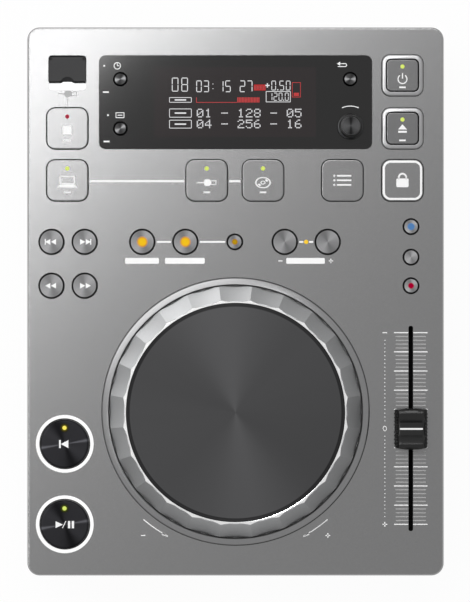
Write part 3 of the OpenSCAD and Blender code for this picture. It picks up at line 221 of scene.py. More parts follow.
def new_group(name, inputs, outputs):
    """An empty shader group with named sockets, and its input and output nodes."""
    kinds = {"vector": "NodeSocketVector", "colour": "NodeSocketColor", "value": "NodeSocketFloat"}
    tree = bpy.data.node_groups.new(name, "ShaderNodeTree")
    for label, kind in inputs:
        tree.interface.new_socket(label, in_out="INPUT", socket_type=kinds[kind])
    for label, kind in outputs:
        tree.interface.new_socket(label, in_out="OUTPUT", socket_type=kinds[kind])
    return tree, tree.nodes.new("NodeGroupInput").outputs, tree.nodes.new("NodeGroupOutput").inputs


SURFACE_INPUTS = [("Vector", "vector"), ("Colour", "colour"), ("Scale", "value"), ("Variation", "value")]
SURFACE_OUTPUTS = [("Colour", "colour"), ("Height", "value")]


def build_mould_grain():
    """Spark-eroded grain of moulded plastic and rubber."""
    tree, given, result = new_group("mould_grain", SURFACE_INPUTS, SURFACE_OUTPUTS)
    noise = add_node(tree, "ShaderNodeTexNoise", {
        "Vector": given["Vector"], "Scale": given["Scale"], "Detail": 4.0, "Roughness": 0.6})
    darker = maths(tree, "MULTIPLY", given["Variation"], noise.outputs["Fac"])
    kept = maths(tree, "SUBTRACT", 1.0, darker)
    tree.links.new(scaled_colour(tree, given["Colour"], kept), result["Colour"])
    tree.links.new(noise.outputs["Fac"], result["Height"])


def build_paint_flake():
    """Metal flakes in paint: small cells, each a little lighter or darker."""
    tree, given, result = new_group("paint_flake", SURFACE_INPUTS, SURFACE_OUTPUTS)
    cells = add_node(tree, "ShaderNodeTexVoronoi", {"Vector": given["Vector"], "Scale": given["Scale"]})
    level = add_node(tree, "ShaderNodeSeparateColor", {0: cells.outputs["Color"]}).outputs[0]
    tree.links.new(varied_colour(tree, given, level), result["Colour"])
    tree.links.new(level, result["Height"])


def build_spun_rings():
    """Turning marks about the Z axis: fine rings, and light that fans out from the centre."""
    tree, given, result = new_group("spun_rings", SURFACE_INPUTS, SURFACE_OUTPUTS)
    rings = add_node(tree, "ShaderNodeTexNoise", {
        "W": maths(tree, "MULTIPLY", distance_from_axis(tree, given["Vector"]), given["Scale"]),
        "Scale": 1.0, "Detail": 2.0}, noise_dimensions="1D")
    flat = stretched(tree, given["Vector"], (1, 1, 0))
    outward = add_node(tree, "ShaderNodeVectorMath", {0: flat}, operation="NORMALIZE").outputs[0]
    fan = add_node(tree, "ShaderNodeTexNoise", {
        "Vector": outward, "Scale": 2.4, "Detail": 2.0}, noise_dimensions="3D").outputs["Fac"]
    tree.links.new(varied_colour(tree, given, fan), result["Colour"])
    tree.links.new(rings.outputs["Fac"], result["Height"])


def build_straight_brushing():
    """Drawn marks of sheet metal along X."""
    tree, given, result = new_group("straight_brushing", SURFACE_INPUTS, SURFACE_OUTPUTS)
    along = stretched(tree, given["Vector"], (0.04, 1, 1))
    noise = add_node(tree, "ShaderNodeTexNoise", {
        "Vector": along, "Scale": given["Scale"], "Detail": 3.0}).outputs["Fac"]
    tree.links.new(varied_colour(tree, given, noise), result["Colour"])
    tree.links.new(noise, result["Height"])


def build_painted_turned_sheen():
    """Painted bow-tie highlight of a turned face: lighter or darker along one line through its centre, the
    darker wedges being painted shade.
    """
    tree, given, result = new_group(
        "turned_sheen", [("Vector", "vector"), ("Colour", "colour"), ("Turn", "value"), ("Sheen", "value"),
                         ("Sharpness", "value")], [("Colour", "colour")])
    at = add_node(tree, "ShaderNodeSeparateXYZ", {0: given["Vector"]}).outputs
    angle = maths(tree, "SUBTRACT", maths(tree, "ARCTAN2", at["Y"], at["X"]), given["Turn"])
    swing = maths(tree, "COSINE", maths(tree, "MULTIPLY", angle, 2.0))
    evened = maths(tree, "MULTIPLY", maths(tree, "ADD", swing, 1.0), 0.5)
    share = maths(tree, "POWER", evened, given["Sharpness"])
    factor = maths(tree, "ADD", maths(tree, "MULTIPLY", share, given["Sheen"]), 1.0)
    tree.links.new(scaled_colour(tree, given["Colour"], factor), result["Colour"])


def build_lamp_glow():
    """Light of a lamp under a cap: an even core that fades to a deeper edge."""
    tree, given, result = new_group(
        "lamp_glow", [("Vector", "vector"), ("Core", "colour"), ("Edge", "colour"), ("Radius", "value")],
        [("Colour", "colour"), ("Mask", "value")])
    share = maths(tree, "DIVIDE", distance_from_axis(tree, given["Vector"]), given["Radius"])
    mask, core = (add_node(tree, "ShaderNodeMapRange", {"Value": share, "From Min": dark, "From Max": full},
                           interpolation_type="SMOOTHSTEP").outputs[0]
                  for dark, full in ((1.0, 0.6), (0.85, 0.35)))
    blend = add_node(tree, "ShaderNodeMix", {0: core, 6: given["Edge"], 7: given["Core"]}, data_type="RGBA")
    tree.links.new(scaled_colour(tree, blend.outputs[2], mask), result["Colour"])
    tree.links.new(mask, result["Mask"])


# ---------- materials ----------

RELIEF_DEPTH = 0.05 * MM
SHADE_SHARE = 0.03  # of its colour that a surface keeps under painted shade


def object_place(tree):
    return add_node(tree, "ShaderNodeTexCoord").outputs["Object"]


def use_group(tree, name, inputs):
    """Outputs of a shader group whose inputs are set or linked."""
    made = tree.nodes.new("ShaderNodeGroup")
    made.node_tree = bpy.data.node_groups[name]
    return set_inputs(tree, made, inputs).outputs


def shader_of(material):
    return material.node_tree.nodes["Principled BSDF"]


def surface(name, colour, group, scale, variation, bump, rough, metal=0.0, centre=(0, 0, 0), dark_below=None,
            dark_beyond=None, outer_share=0.04, sheens=(), **sockets):
    """A material whose colour and relief come from one of the shader groups.

    Below a given height its colour falls nearly to black: painted shade in the gap round a cap. Beyond a
    given radius it keeps outer_share of its colour: painted shade round an edge. Each sheen is a (degrees,
    strength, sharpness) bow tie of painted highlight, or of painted shade where its strength is negative.
    """
    material = bpy.data.materials.new(name)
    material.use_nodes = True
    tree, shader = material.node_tree, shader_of(material)
    spot = object_place(tree)
    centred = add_node(tree, "ShaderNodeMapping", {
        "Vector": spot, "Location": [-part for part in centre]}).outputs[0]
    pattern = use_group(tree, group, {
        "Vector": centred, "Colour": (*colour, 1), "Scale": scale, "Variation": variation})
    relief = add_node(tree, "ShaderNodeBump", {
        "Height": pattern["Height"], "Strength": bump, "Distance": RELIEF_DEPTH})
    tinted = pattern["Colour"]
    # each sheen paints a highlight bow tie into the colour, or painted shade where its strength is negative
    for degrees, strength, sharpness in sheens:
        tinted = use_group(tree, "turned_sheen", {
            "Vector": centred, "Colour": tinted, "Turn": math.radians(degrees), "Sheen": strength,
            "Sharpness": sharpness})["Colour"]
    # painted shade: below the given height the colour falls nearly to black, for the dark gap round a cap
    if dark_below is not None:
        height = add_node(tree, "ShaderNodeSeparateXYZ", {0: spot}).outputs["Z"]
        unshaded = maths(tree, "GREATER_THAN", height, dark_below)
        tinted = scaled_colour(tree, tinted, maths(tree, "MAXIMUM", unshaded, SHADE_SHARE))
    # painted shade: beyond the given radius the colour falls to outer_share, for the dark gap round an edge
    if dark_beyond is not None:
        unshaded = maths(tree, "LESS_THAN", distance_from_axis(tree, centred), dark_beyond)
        tinted = scaled_colour(tree, tinted, maths(tree, "MAXIMUM", unshaded, outer_share))
    tree.links.new(tinted, shader.inputs["Base Color"])
    tree.links.new(relief.outputs[0], shader.inputs["Normal"])
    shader.inputs["Roughness"].default_value = rough
    shader.inputs["Metallic"].default_value = metal
    for socket, value in sockets.items():
        shader.inputs[socket.replace("_", " ")].default_value = value
    return material


def moulded(name, colour, rough=0.5, scale=3500.0, variation=0.25, bump=0.25, **sockets):
    return surface(name, colour, "mould_grain", scale, variation, bump, rough, **sockets)


def flaked(name, colour, rough=0.23, **sockets):
    return surface(name, colour, "paint_flake", 4500.0, 0.12, 0.05, rough, metal=1.0, **sockets)


def drawn(name, colour, rough=0.35):
    return surface(name, colour, "straight_brushing", 2600.0, 0.3, 0.1, rough, metal=1.0)


def spun(name, colour, centre, rough=0.4, rings=9000.0, fan=0.25, **sockets):
    material = surface(
        name, colour, "spun_rings", rings, fan, 0.1, rough, metal=1.0, centre=centre, **sockets)
    tree, shader = material.node_tree, shader_of(material)
    around = add_node(tree, "ShaderNodeTangent", direction_type="RADIAL", axis="Z")
    shader.inputs["Anisotropic"].default_value = 0.3
    tree.links.new(around.outputs[0], shader.inputs["Tangent"])
    return material


def lit_from_below(material, core, edge, centre, radius, strength):
    """Adds the light of a lamp under the middle of a cap, which hides the cap's own colour there."""
    tree, shader = material.node_tree, shader_of(material)
    centred = add_node(tree, "ShaderNodeMapping", {
        "Vector": object_place(tree), "Location": (-centre[0], -centre[1], 0)}).outputs[0]
    glow = use_group(tree, "lamp_glow", {
        "Vector": centred, "Core": (*core, 1), "Edge": (*edge, 1), "Radius": radius})
    tree.links.new(glow["Colour"], shader.inputs["Emission Color"])
    shader.inputs["Emission Strength"].default_value = strength
    cap_colour = shader.inputs["Base Color"].links[0].from_socket
    unlit = maths(tree, "SUBTRACT", 1.0, glow["Mask"])
    tree.links.new(scaled_colour(tree, cap_colour, unlit), shader.inputs["Base Color"])
    return material


def glowing(name, colour, strength):
    """Lens of a lamp or a lit segment, with the slight unevenness of a diffuser."""
    own = [0.08 * part for part in colour]
    material = moulded(name, own, rough=0.3, scale=1800.0, variation=0.12, bump=0.02, Specular_IOR_Level=0.2)
    shader = shader_of(material)
    shader.inputs["Emission Color"].default_value = (*colour, 1)
    shader.inputs["Emission Strength"].default_value = strength
    return material


def ink(name, colour):
    return moulded(name, colour, rough=0.55, scale=2500.0, variation=0.05, bump=0.03)


def shared(name, make, *values):
    """The material of that name, made when it is first asked for."""
    return bpy.data.materials.get(name) or make(name, *values)


# Black ink used as painted shade in the gaps between parts.
def joint_black():
    return shared("joint_black", ink, (0.01, 0.01, 0.01))


def dress(material, *nodes):
    """Gives CAD nodes a material."""
    for node in nodes:
        mesh = frame["nodes"][node]
        if not mesh.material_slots:
            mesh.data.materials.append(material)
        for slot in mesh.material_slots:
            slot.material = material


# ---------- modelling ----------


def only(obj):
    bpy.ops.object.select_all(action="DESELECT")
    obj.select_set(True)
    bpy.context.view_layer.objects.active = obj


def edit(obj):
    only(obj)
    bpy.context.tool_settings.mesh_select_mode = (False, False, True)
    bpy.ops.object.mode_set(mode="EDIT")


def leave():
    bpy.ops.object.mode_set(mode="OBJECT")


def edit_all(obj):
    edit(obj)
    bpy.ops.mesh.select_all(action="SELECT")


def face_outward():
    bpy.ops.mesh.select_all(action="SELECT")
    bpy.ops.mesh.normals_make_consistent(inside=False)


def edit_faces(obj, test):
    """Enters edit mode with the faces selected whose centre and normal pass the test."""
    mesh = obj.data
    mesh.vertices.foreach_set("select", [False] * len(mesh.vertices))
    mesh.edges.foreach_set("select", [False] * len(mesh.edges))
    mesh.polygons.foreach_set("select", [bool(test(p.center, p.normal)) for p in mesh.polygons])
    edit(obj)


def edit_points(obj, test):
    """Enters edit mode with the vertices selected whose place passes the test."""
    mesh = obj.data
    mesh.polygons.foreach_set("select", [False] * len(mesh.polygons))
    mesh.edges.foreach_set("select", [False] * len(mesh.edges))
    mesh.vertices.foreach_set("select", [bool(test(v.co)) for v in mesh.vertices])
    only(obj)
    bpy.context.tool_settings.mesh_select_mode = (True, False, False)
    bpy.ops.object.mode_set(mode="EDIT")


def move_points(obj, test, shift):
    """Moves the vertices whose place passes the test."""
    edit_points(obj, test)
    bpy.ops.transform.translate(value=shift)
    leave()


def scale_points(obj, test, factors, centre):
    """Scales the vertices whose place passes the test, about a centre."""
    edit_points(obj, test)
    bpy.ops.transform.resize(value=factors, center_override=centre)
    leave()


def settle(obj):
    """Puts the piece's place into its mesh, so that its object sits at the origin."""
    only(obj)
    bpy.ops.object.transform_apply(location=True, rotation=True, scale=True)
    return obj


def apply_modifier(obj, kind, **values):
    only(obj)
    modifier = obj.modifiers.new(kind.lower(), kind)
    for key, value in values.items():
        setattr(modifier, key, value)
    bpy.ops.object.modifier_apply(modifier=modifier.name)
    return obj


def smooth(obj, degrees=35):
    only(obj)
    bpy.ops.object.shade_smooth_by_angle(angle=math.radians(degrees))
    return obj


def join(name, parts):
    bpy.ops.object.select_all(action="DESELECT")
    for part in parts:
        part.select_set(True)
    bpy.context.view_layer.objects.active = parts[0]
    if len(parts) > 1:
        bpy.ops.object.join()
    made = settle(bpy.context.object)
    made.name = name
    made.data.name = name
    return made


def cut_faces(obj, test):
    """Deletes the faces whose centre and normal pass the test."""
    edit_faces(obj, test)
    bpy.ops.mesh.delete(type="FACE")
    leave()


def place(obj, material, body):
    """Gives a finished piece its material and its body."""
    obj.data.materials.clear()
    obj.data.materials.append(material)
    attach(obj, body)
    return obj


def finish_faces(obj, material, test):
    """Gives a placed piece a second material, on the faces whose centre and normal pass the test."""
    obj.data.materials.append(material)
    edit_faces(obj, test)
    obj.active_material_index = 1
    bpy.ops.object.material_slot_assign()
    leave()


# ---------- flat marks ----------


def bar(x, y, w, d, turn=0.0):
    bpy.ops.mesh.primitive_plane_add(size=1, location=(x, y, 0), rotation=(0, 0, turn))
    made = bpy.context.object
    made.scale = (w, d, 1)
    return made


def span(x0, x1, y, d):
    """A bar between two X places."""
    return bar((x0 + x1) / 2, y, x1 - x0, d)


def plate(x, y, w, d, r, steps=6):
    """A bar with round corners."""
    made = bar(x, y, w, d)
    only(made)
    bpy.ops.object.transform_apply(location=False, rotation=False, scale=True)
    edit_all(made)
    bpy.ops.mesh.bevel(offset=r, segments=steps, affect="VERTICES")
    leave()
    return made


def hollow(made, stroke):
    """Leaves only a border of a flat face."""
    edit_all(made)
    bpy.ops.mesh.inset(thickness=stroke)
    bpy.ops.mesh.delete(type="FACE")
    leave()
    return made


def disc(x, y, r, steps=32):
    bpy.ops.mesh.primitive_circle_add(vertices=steps, radius=r, fill_type="NGON", location=(x, y, 0))
    return bpy.context.object


def ring(x, y, r, stroke, steps=32):
    return hollow(disc(x, y, r, steps), stroke)


def arc(x, y, r, stroke, start, stop, steps=120):
    """Part of a ring, from start to stop in degrees."""
    made = ring(x, y, r, stroke, steps)

    def outside(at, _):
        angle = math.degrees(math.atan2(at.y, at.x))
        return (angle - start) % 360 > (stop - start) % 360

    cut_faces(made, outside)
    return made


def triangle(x, y, w, d, turn=0.0):
    """A triangle that points along +Y before it is turned."""
    bpy.ops.mesh.primitive_circle_add(
        vertices=3, radius=1, fill_type="NGON", location=(x, y, 0), rotation=(0, 0, turn))
    made = bpy.context.object
    made.scale = (w / math.sqrt(3), d / 1.5, 1)
    return made


def stamp(name, parts, z, material, body):
    """Joins flat marks and gives them the thickness of ink."""
    made = join(name, parts)
    made.location.z = z
    settle(made)
    apply_modifier(made, "SOLIDIFY", thickness=settings("print").rise, offset=1)
    return place(made, material, body)


# ---------- turned pieces ----------


def lathe(name, at, profile, steps=96):
    """A turned piece about the Z axis through at. The profile is (radius, height) pairs, and closes."""
    radius, height = profile[0]
    bpy.ops.mesh.primitive_circle_add(
        vertices=steps, radius=radius, fill_type="NOTHING", location=(at[0], at[1], height))
    made = bpy.context.object
    made.name = name
    made.data.name = name
    settle(made)
    only(made)
    bpy.context.tool_settings.mesh_select_mode = (False, True, False)
    bpy.ops.object.mode_set(mode="EDIT")
    bpy.ops.mesh.select_all(action="SELECT")
    for next_radius, next_height in [*profile[1:], profile[0]]:
        bpy.ops.mesh.extrude_region_move(
            TRANSFORM_OT_translate={"value": (0, 0, next_height - height)})
        share = next_radius / radius
        bpy.ops.transform.resize(value=(share, share, 1), center_override=(at[0], at[1], next_height))
        radius, height = next_radius, next_height
    bpy.ops.mesh.select_all(action="SELECT")
    bpy.ops.mesh.remove_doubles(threshold=0.002 * MM)
    face_outward()
    leave()
    return made


CORE = 0.01 * MM  # radius at which a turned piece closes over its axis


def block(x, y, z, w, d, h):
    """A box with its base at z."""
    bpy.ops.mesh.primitive_cube_add(size=1, location=(x, y, z + h / 2))
    made = bpy.context.object
    made.scale = (w, d, h)
    return settle(made)


def slab(x, y, z, w, d, h, r, steps=8):
    """A plate with round corners and a thickness."""
    made = plate(x, y, w, d, r, steps)
    made.location.z = z
    settle(made)
    edit_all(made)
    bpy.ops.mesh.extrude_region_move(TRANSFORM_OT_translate={"value": (0, 0, h)})
    face_outward()
    leave()
    return made


def cut_away(made, tool):
    apply_modifier(made, "BOOLEAN", object=tool, operation="DIFFERENCE", solver="EXACT")
    bpy.data.objects.remove(tool)
    return made


def bevel(obj, width, steps, degrees):
    """Rounds the edges whose faces meet at more than an angle."""
    return apply_modifier(obj, "BEVEL", width=width, segments=steps, limit_method="ANGLE",
                          angle_limit=math.radians(degrees))


def soften(obj, width):
    return smooth(bevel(obj, width, 3, 40))


def split(obj, spot, normal):
    """Cuts a piece's faces along a plane, and keeps both sides."""
    edit_all(obj)
    bpy.ops.mesh.bisect(plane_co=spot, plane_no=normal)
    leave()


# ---------- pictograms ----------


def power_mark(x, y):
    stroke = settings("print").stroke
    return [arc(x, y, 2.6 * MM, stroke, 125, 55), bar(x, y + 1.7 * MM, stroke, 2.8 * MM)]


def eject_mark(x, y):
    return [triangle(x, y, 4.7 * MM, 2.7 * MM), bar(x, y - 2.1 * MM, 4.5 * MM, 1.0 * MM)]


def laptop_mark(x, y):
    stroke = settings("print").stroke
    screen = hollow(plate(x, y + 0.8 * MM, 7.8 * MM, 4.4 * MM, 0.5 * MM), stroke)
    base = bar(x, y - 2.3 * MM, 10.2 * MM, 1.5 * MM)
    scale_points(base, lambda at: at.y > 0, (0.76, 1, 1), (x, y, 0))
    return [screen, base]


def plug_mark(x, y):
    stroke = settings("print").stroke
    shell = hollow(plate(x + 3.5 * MM, y, 3.0 * MM, 2.4 * MM, 0.2 * MM), 0.4 * MM)
    body = plate(x + 0.3 * MM, y, 3.4 * MM, 3.4 * MM, 0.9 * MM)
    return [body, shell, bar(x - 3.2 * MM, y, 3.8 * MM, stroke)]


def disc_mark(x, y):
    stroke = settings("print").stroke
    parts = [ring(x, y, 3.4 * MM, stroke, 48), ring(x, y, 1.1 * MM, 0.4 * MM, 32),
             arc(x, y, 2.5 * MM, 0.9 * MM, 20, 60), arc(x, y, 2.5 * MM, 0.9 * MM, 200, 240)]
    for part in parts:
        part.scale = (1.2, 0.86, 1)
    return parts


def list_mark(x, y):
    parts = []
    for row in (-1, 0, 1):
        at = y + row * 2.4 * MM
        parts += [disc(x - 4.2 * MM, at, 0.55 * MM, 16), bar(x + 0.9 * MM, at, 7.6 * MM, 0.8 * MM)]
    return parts


def padlock_mark(x, y):
    stroke = 0.9 * MM
    body = plate(x, y - 1.6 * MM, 6.4 * MM, 4.6 * MM, 0.7 * MM)
    bow = arc(x, y + 1.2 * MM, 2.4 * MM, stroke, 0, 180)
    legs = [bar(x + side * 1.95 * MM, y + 0.9 * MM, stroke, 0.8 * MM) for side in (-1, 1)]
    return [body, bow, *legs]


def stop_mark(x, y):
    return [plate(x, y, 4.4 * MM, 4.4 * MM, 0.4 * MM)]


def arrow_pair(x, y, side):
    turn = -side * math.pi / 2
    return [triangle(x + shift * MM, y, 2.9 * MM, 2.7 * MM, turn) for shift in (-1.5, 1.5)]


def skip_mark(x, y, side):
    return [*arrow_pair(x, y, side), bar(x + side * 3.2 * MM, y, 0.5 * MM, 2.9 * MM)]


def cue_mark(x, y):
    return [triangle(x + 0.7 * MM, y, 4.2 * MM, 4.0 * MM, math.pi / 2),
            bar(x - 2.4 * MM, y, 0.9 * MM, 4.2 * MM)]


def play_pause_mark(x, y):
    return [triangle(x - 3.4 * MM, y, 3.6 * MM, 3.8 * MM, -math.pi / 2),
            bar(x - 0.2 * MM, y, 0.4 * MM, 4.0 * MM, -0.45),
            *(bar(x + shift * MM, y, 1.2 * MM, 3.8 * MM) for shift in (2.4, 4.4))]


def return_mark(x, y):
    stroke = 0.42 * MM
    return [triangle(x - 1.7 * MM, y + 0.6 * MM, 2.1 * MM, 1.8 * MM, math.pi / 2),
            span(x - 1.4 * MM, x + 1.5 * MM, y + 0.6 * MM, stroke),
            span(x - 2.4 * MM, x + 1.5 * MM, y - 0.9 * MM, stroke),
            arc(x + 1.5 * MM, y - 0.15 * MM, 0.96 * MM, stroke, -90, 90)]


def clock_mark(x, y):
    stroke = 0.4 * MM
    return [ring(x, y, 1.9 * MM, stroke), bar(x, y + 0.6 * MM, stroke, 1.4 * MM),
            bar(x + 0.5 * MM, y, 1.2 * MM, stroke)]


def screen_mark(x, y):
    stroke = 0.4 * MM
    return [hollow(plate(x, y, 4.6 * MM, 3.0 * MM, 0.3 * MM), stroke), bar(x, y, 2.6 * MM, stroke)]


def plus_mark(x, y, size):
    return [bar(x, y, size, size / 4), bar(x, y, size / 4, size)]


# ---------- operators ----------


class DISC_OT_stage(bpy.types.Operator):
    """Camera, lamps, world and floor"""

    bl_idname = "disc_player.stage"
    bl_label = "Stage"

    def execute(self, context):
        stage = settings("stage")
        spot = (-0.28 * MM, 0.25 * MM, PANEL_Z + stage.distance)
        bpy.ops.object.camera_add(location=spot, rotation=(0, 0, 0))
        camera = bpy.context.object
        camera.data.sensor_width = 36
        camera.data.lens = camera.data.sensor_width * stage.distance / stage.view
        camera.data.clip_end = 20
        context.scene.camera = camera
        context.scene.view_settings.view_transform = "Standard"
        self.lamps(stage)
        self.world(context.scene, stage)
        self.floor()
        return {"FINISHED"}

    def lamps(self, stage):
        """Strip lamp mirrored across the rear left corner, low lamp for the dial alone, and softbox."""
        height, centre = 1.2, Vector((0, 0, PANEL_Z))
        spread = (stage.distance + height) / stage.distance
        strip = Vector((cad_low.x * 0.95, cad_high.y * 0.98, 0)) * spread + Vector((0, 0, PANEL_Z + height))
        across = Vector((1, 1, 0)).normalized()
        self.lamp("strip_lamp", strip, Vector((0.05, -0.05, PANEL_Z)), across, (1.4, 0.1), stage.key)
        level = Vector((math.cos(math.radians(30)), math.sin(math.radians(30)), 0))
        behind = Vector((-level.y, level.x, 0)) * 1.25 + Vector((0, 0, 0.36))
        side = self.lamp("side_lamp", behind, centre, level, (0.5, 0.3), stage.side)
        side.light_linking.receiver_collection = bpy.data.collections.new("lit_by_side_lamp")
        turn, lift = math.radians(126), math.radians(49)
        far = Vector((math.cos(turn) * math.cos(lift), math.sin(turn) * math.cos(lift), math.sin(lift))) * 1.6
        level = Vector((math.sin(turn), -math.cos(turn), 0))
        self.lamp("softbox", far + centre, centre, level, (1.7, 0.55), stage.soft)

    def lamp(self, name, at, target, along, size, power):
        """A rectangular lamp whose long side lies along a level direction."""
        bpy.ops.object.light_add(type="AREA", location=at)
        lamp = bpy.context.object
        lamp.name = name
        lamp.data.shape = "RECTANGLE"
        lamp.data.size, lamp.data.size_y = size
        lamp.data.energy = power
        back = (at - target).normalized()
        up = back.cross(along).normalized()
        turned = Matrix((up.cross(back), up, back)).transposed()
        lamp.rotation_euler = turned.to_euler()
        return lamp

    def seen(self, tree):
        """1 for what the camera sees, straight or in gloss and glass."""
        ray = add_node(tree, "ShaderNodeLightPath").outputs
        either = maths(tree, "MAXIMUM", ray["Is Camera Ray"], ray["Is Glossy Ray"])
        return maths(tree, "MAXIMUM", either, ray["Is Transmission Ray"])

    def world(self, scene, stage):
        """Pale for the camera and for reflections, and softer as light."""
        world = bpy.data.worlds.new("studio")
        scene.world = world
        world.use_nodes = True
        tree = world.node_tree
        extra = maths(tree, "MULTIPLY", self.seen(tree), 1 - stage.sky)
        background = tree.nodes["Background"]
        background.inputs["Color"].default_value = (1, 1, 1, 1)
        tree.links.new(maths(tree, "ADD", extra, stage.sky), background.inputs["Strength"])

    def floor(self):
        bpy.ops.mesh.primitive_plane_add(size=8, location=(0, 0, 0))
        floor = bpy.context.object
        floor.name = "floor"
        material = bpy.data.materials.new("white_floor")
        material.use_nodes = True
        tree, shader = material.node_tree, shader_of(material)
        shader.inputs["Base Color"].default_value = (0.9, 0.9, 0.9, 1)
        shader.inputs["Roughness"].default_value = 0.8
        white = add_node(tree, "ShaderNodeEmission", {"Color": (1, 1, 1, 1), "Strength": 1.0})
        seen = maths(tree, "MULTIPLY", self.seen(tree), 0.96)
        mixed = add_node(tree, "ShaderNodeMixShader", {0: seen, 1: shader.outputs[0], 2: white.outputs[0]})
        below = add_node(tree, "ShaderNodeNewGeometry").outputs["Backfacing"]
        clear = tree.nodes.new("ShaderNodeBsdfTransparent")
        open_below = add_node(tree, "ShaderNodeMixShader", {
            0: below, 1: mixed.outputs[0], 2: clear.outputs[0]})
        tree.links.new(open_below.outputs[0], tree.nodes["Material Output"].inputs["Surface"])
        floor.data.materials.append(material)


class DISC_OT_casing(bpy.types.Operator):
    """Paint, plastic and rubber of panel, sides, lower case and feet"""

    bl_idname = "disc_player.casing"
    bl_label = "Casing"

    def execute(self, context):
        finish = settings("finish")
        dress(flaked("panel_paint", finish.panel), "side_frame")
        dress(self.paint_hole_shade_and_edge_light(flaked("top_paint", finish.panel)), "top_panel")
        case = moulded("case_plastic", finish.case, rough=0.6, bump=0.5, Specular_IOR_Level=0.25)
        dress(case, "lower_case")
        dress(moulded("foot_rubber", (0.02, 0.02, 0.02), rough=0.85, scale=2200.0), "rubber_feet")
        dress(drawn("screw_zinc", (0.55, 0.54, 0.5)), "screws_and_spacers")
        dress(drawn("plate_steel", (0.5, 0.5, 0.51)), "rear_plate")
        dress(moulded("slot_gloss", (0.012, 0.012, 0.013), rough=0.12, bump=0.02), "slot_bezel")
        felt = moulded("slot_felt", (0.02, 0.02, 0.02), rough=0.95, scale=1500.0, variation=0.5, bump=1.0)
        dress(felt, "slot_felts")
        return {"FINISHED"}

    def paint_hole_shade_and_edge_light(self, material):
        """Paints shade on the walls of the panel's holes, nearly black, and a painted highlight on its
        slanting edges and lip.

        The outer edge and the lip before the port door aren't black.
        """
        tree, shader = material.node_tree, shader_of(material)
        at = add_node(tree, "ShaderNodeSeparateXYZ", {0: object_place(tree)}).outputs
        low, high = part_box("top_panel")
        door_low, door_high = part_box("port_door")
        # painted shade: walls of holes, below the panel's top, are darkened nearly to black
        deep = maths(tree, "LESS_THAN", at["Z"], PANEL_Z - 0.12 * MM)
        width, depth = high.x - low.x, high.y - low.y
        inner = maths(tree, "MAXIMUM", inside_box(tree, at, 0, 0, width - 24 * MM, depth - 3 * MM),
                      inside_box(tree, at, 0, 0, width - 3 * MM, depth - 24 * MM))
        lip_y = door_low.y - 3.0 * MM
        lip = inside_box(tree, at, (door_low.x + door_high.x) / 2, lip_y, 24 * MM, 6.2 * MM)
        off_lip = maths(tree, "SUBTRACT", 1.0, lip)
        shaded = maths(tree, "MULTIPLY", maths(tree, "MULTIPLY", deep, inner), off_lip)
        kept = maths(tree, "SUBTRACT", 1.0, maths(tree, "MULTIPLY", shaded, 0.97))
        # painted highlight: faces that slant between flat and upright are made 1.7 times lighter
        upward = add_node(tree, "ShaderNodeTexCoord").outputs["Normal"]
        tilt = add_node(tree, "ShaderNodeSeparateXYZ", {0: upward}).outputs["Z"]
        slanting = maths(tree, "COMPARE", tilt, 0.54, 0.44)
        edge_highlight = maths(tree, "ADD", maths(tree, "MULTIPLY", slanting, 0.7), 1.0)
        unshaded = shader.inputs["Base Color"].links[0].from_socket
        shaded_and_highlit = scaled_colour(tree, unshaded, maths(tree, "MULTIPLY", kept, edge_highlight))
        tree.links.new(shaded_and_highlit, shader.inputs["Base Color"])
        return material


class DISC_OT_works(bpy.types.Operator):
    """Boards, switches, disc drive and the other hidden works"""

    bl_idname = "disc_player.works"
    bl_label = "Inner works"

    def execute(self, context):
        dress(moulded("board_green", (0.02, 0.13, 0.05), rough=0.4, bump=0.1), "circuit_boards")
        dress(moulded("component_brown", (0.12, 0.09, 0.04), rough=0.45), "board_parts")
        dress(moulded("switch_black", (0.03, 0.03, 0.03), rough=0.5), "panel_switches", "encoder_rotor")
        dress(moulded("module_glass", (0.04, 0.035, 0.036), rough=0.15, bump=0.02), "display_module")
        dress(moulded("base_black", (0.03, 0.03, 0.03), rough=0.6), "jog_base")
        steel = drawn("drive_steel", (0.5, 0.51, 0.52))
        dress(steel, "drive_chassis", "drive_lid", "roller_frame", "clamp_arm")
        dress(drawn("rod_steel", (0.62, 0.62, 0.62), rough=0.2), "guide_rods")
        dress(drawn("motor_steel", (0.45, 0.45, 0.46)), "drive_motors")
        dress(moulded("fader_frame", (0.008, 0.008, 0.008), rough=0.7, Specular_IOR_Level=0.2), "fader_body")
        dress(moulded("roller_rubber", (0.03, 0.03, 0.03), rough=0.8), "loading_roller")
        dress(moulded("drive_plastic", (0.05, 0.05, 0.05), rough=0.5), "clamper", "turntable", "pickup_sled")
        dress(moulded("gear_white", (0.7, 0.69, 0.65), rough=0.5, variation=0.08), "feed_pinion")
        return {"FINISHED"}


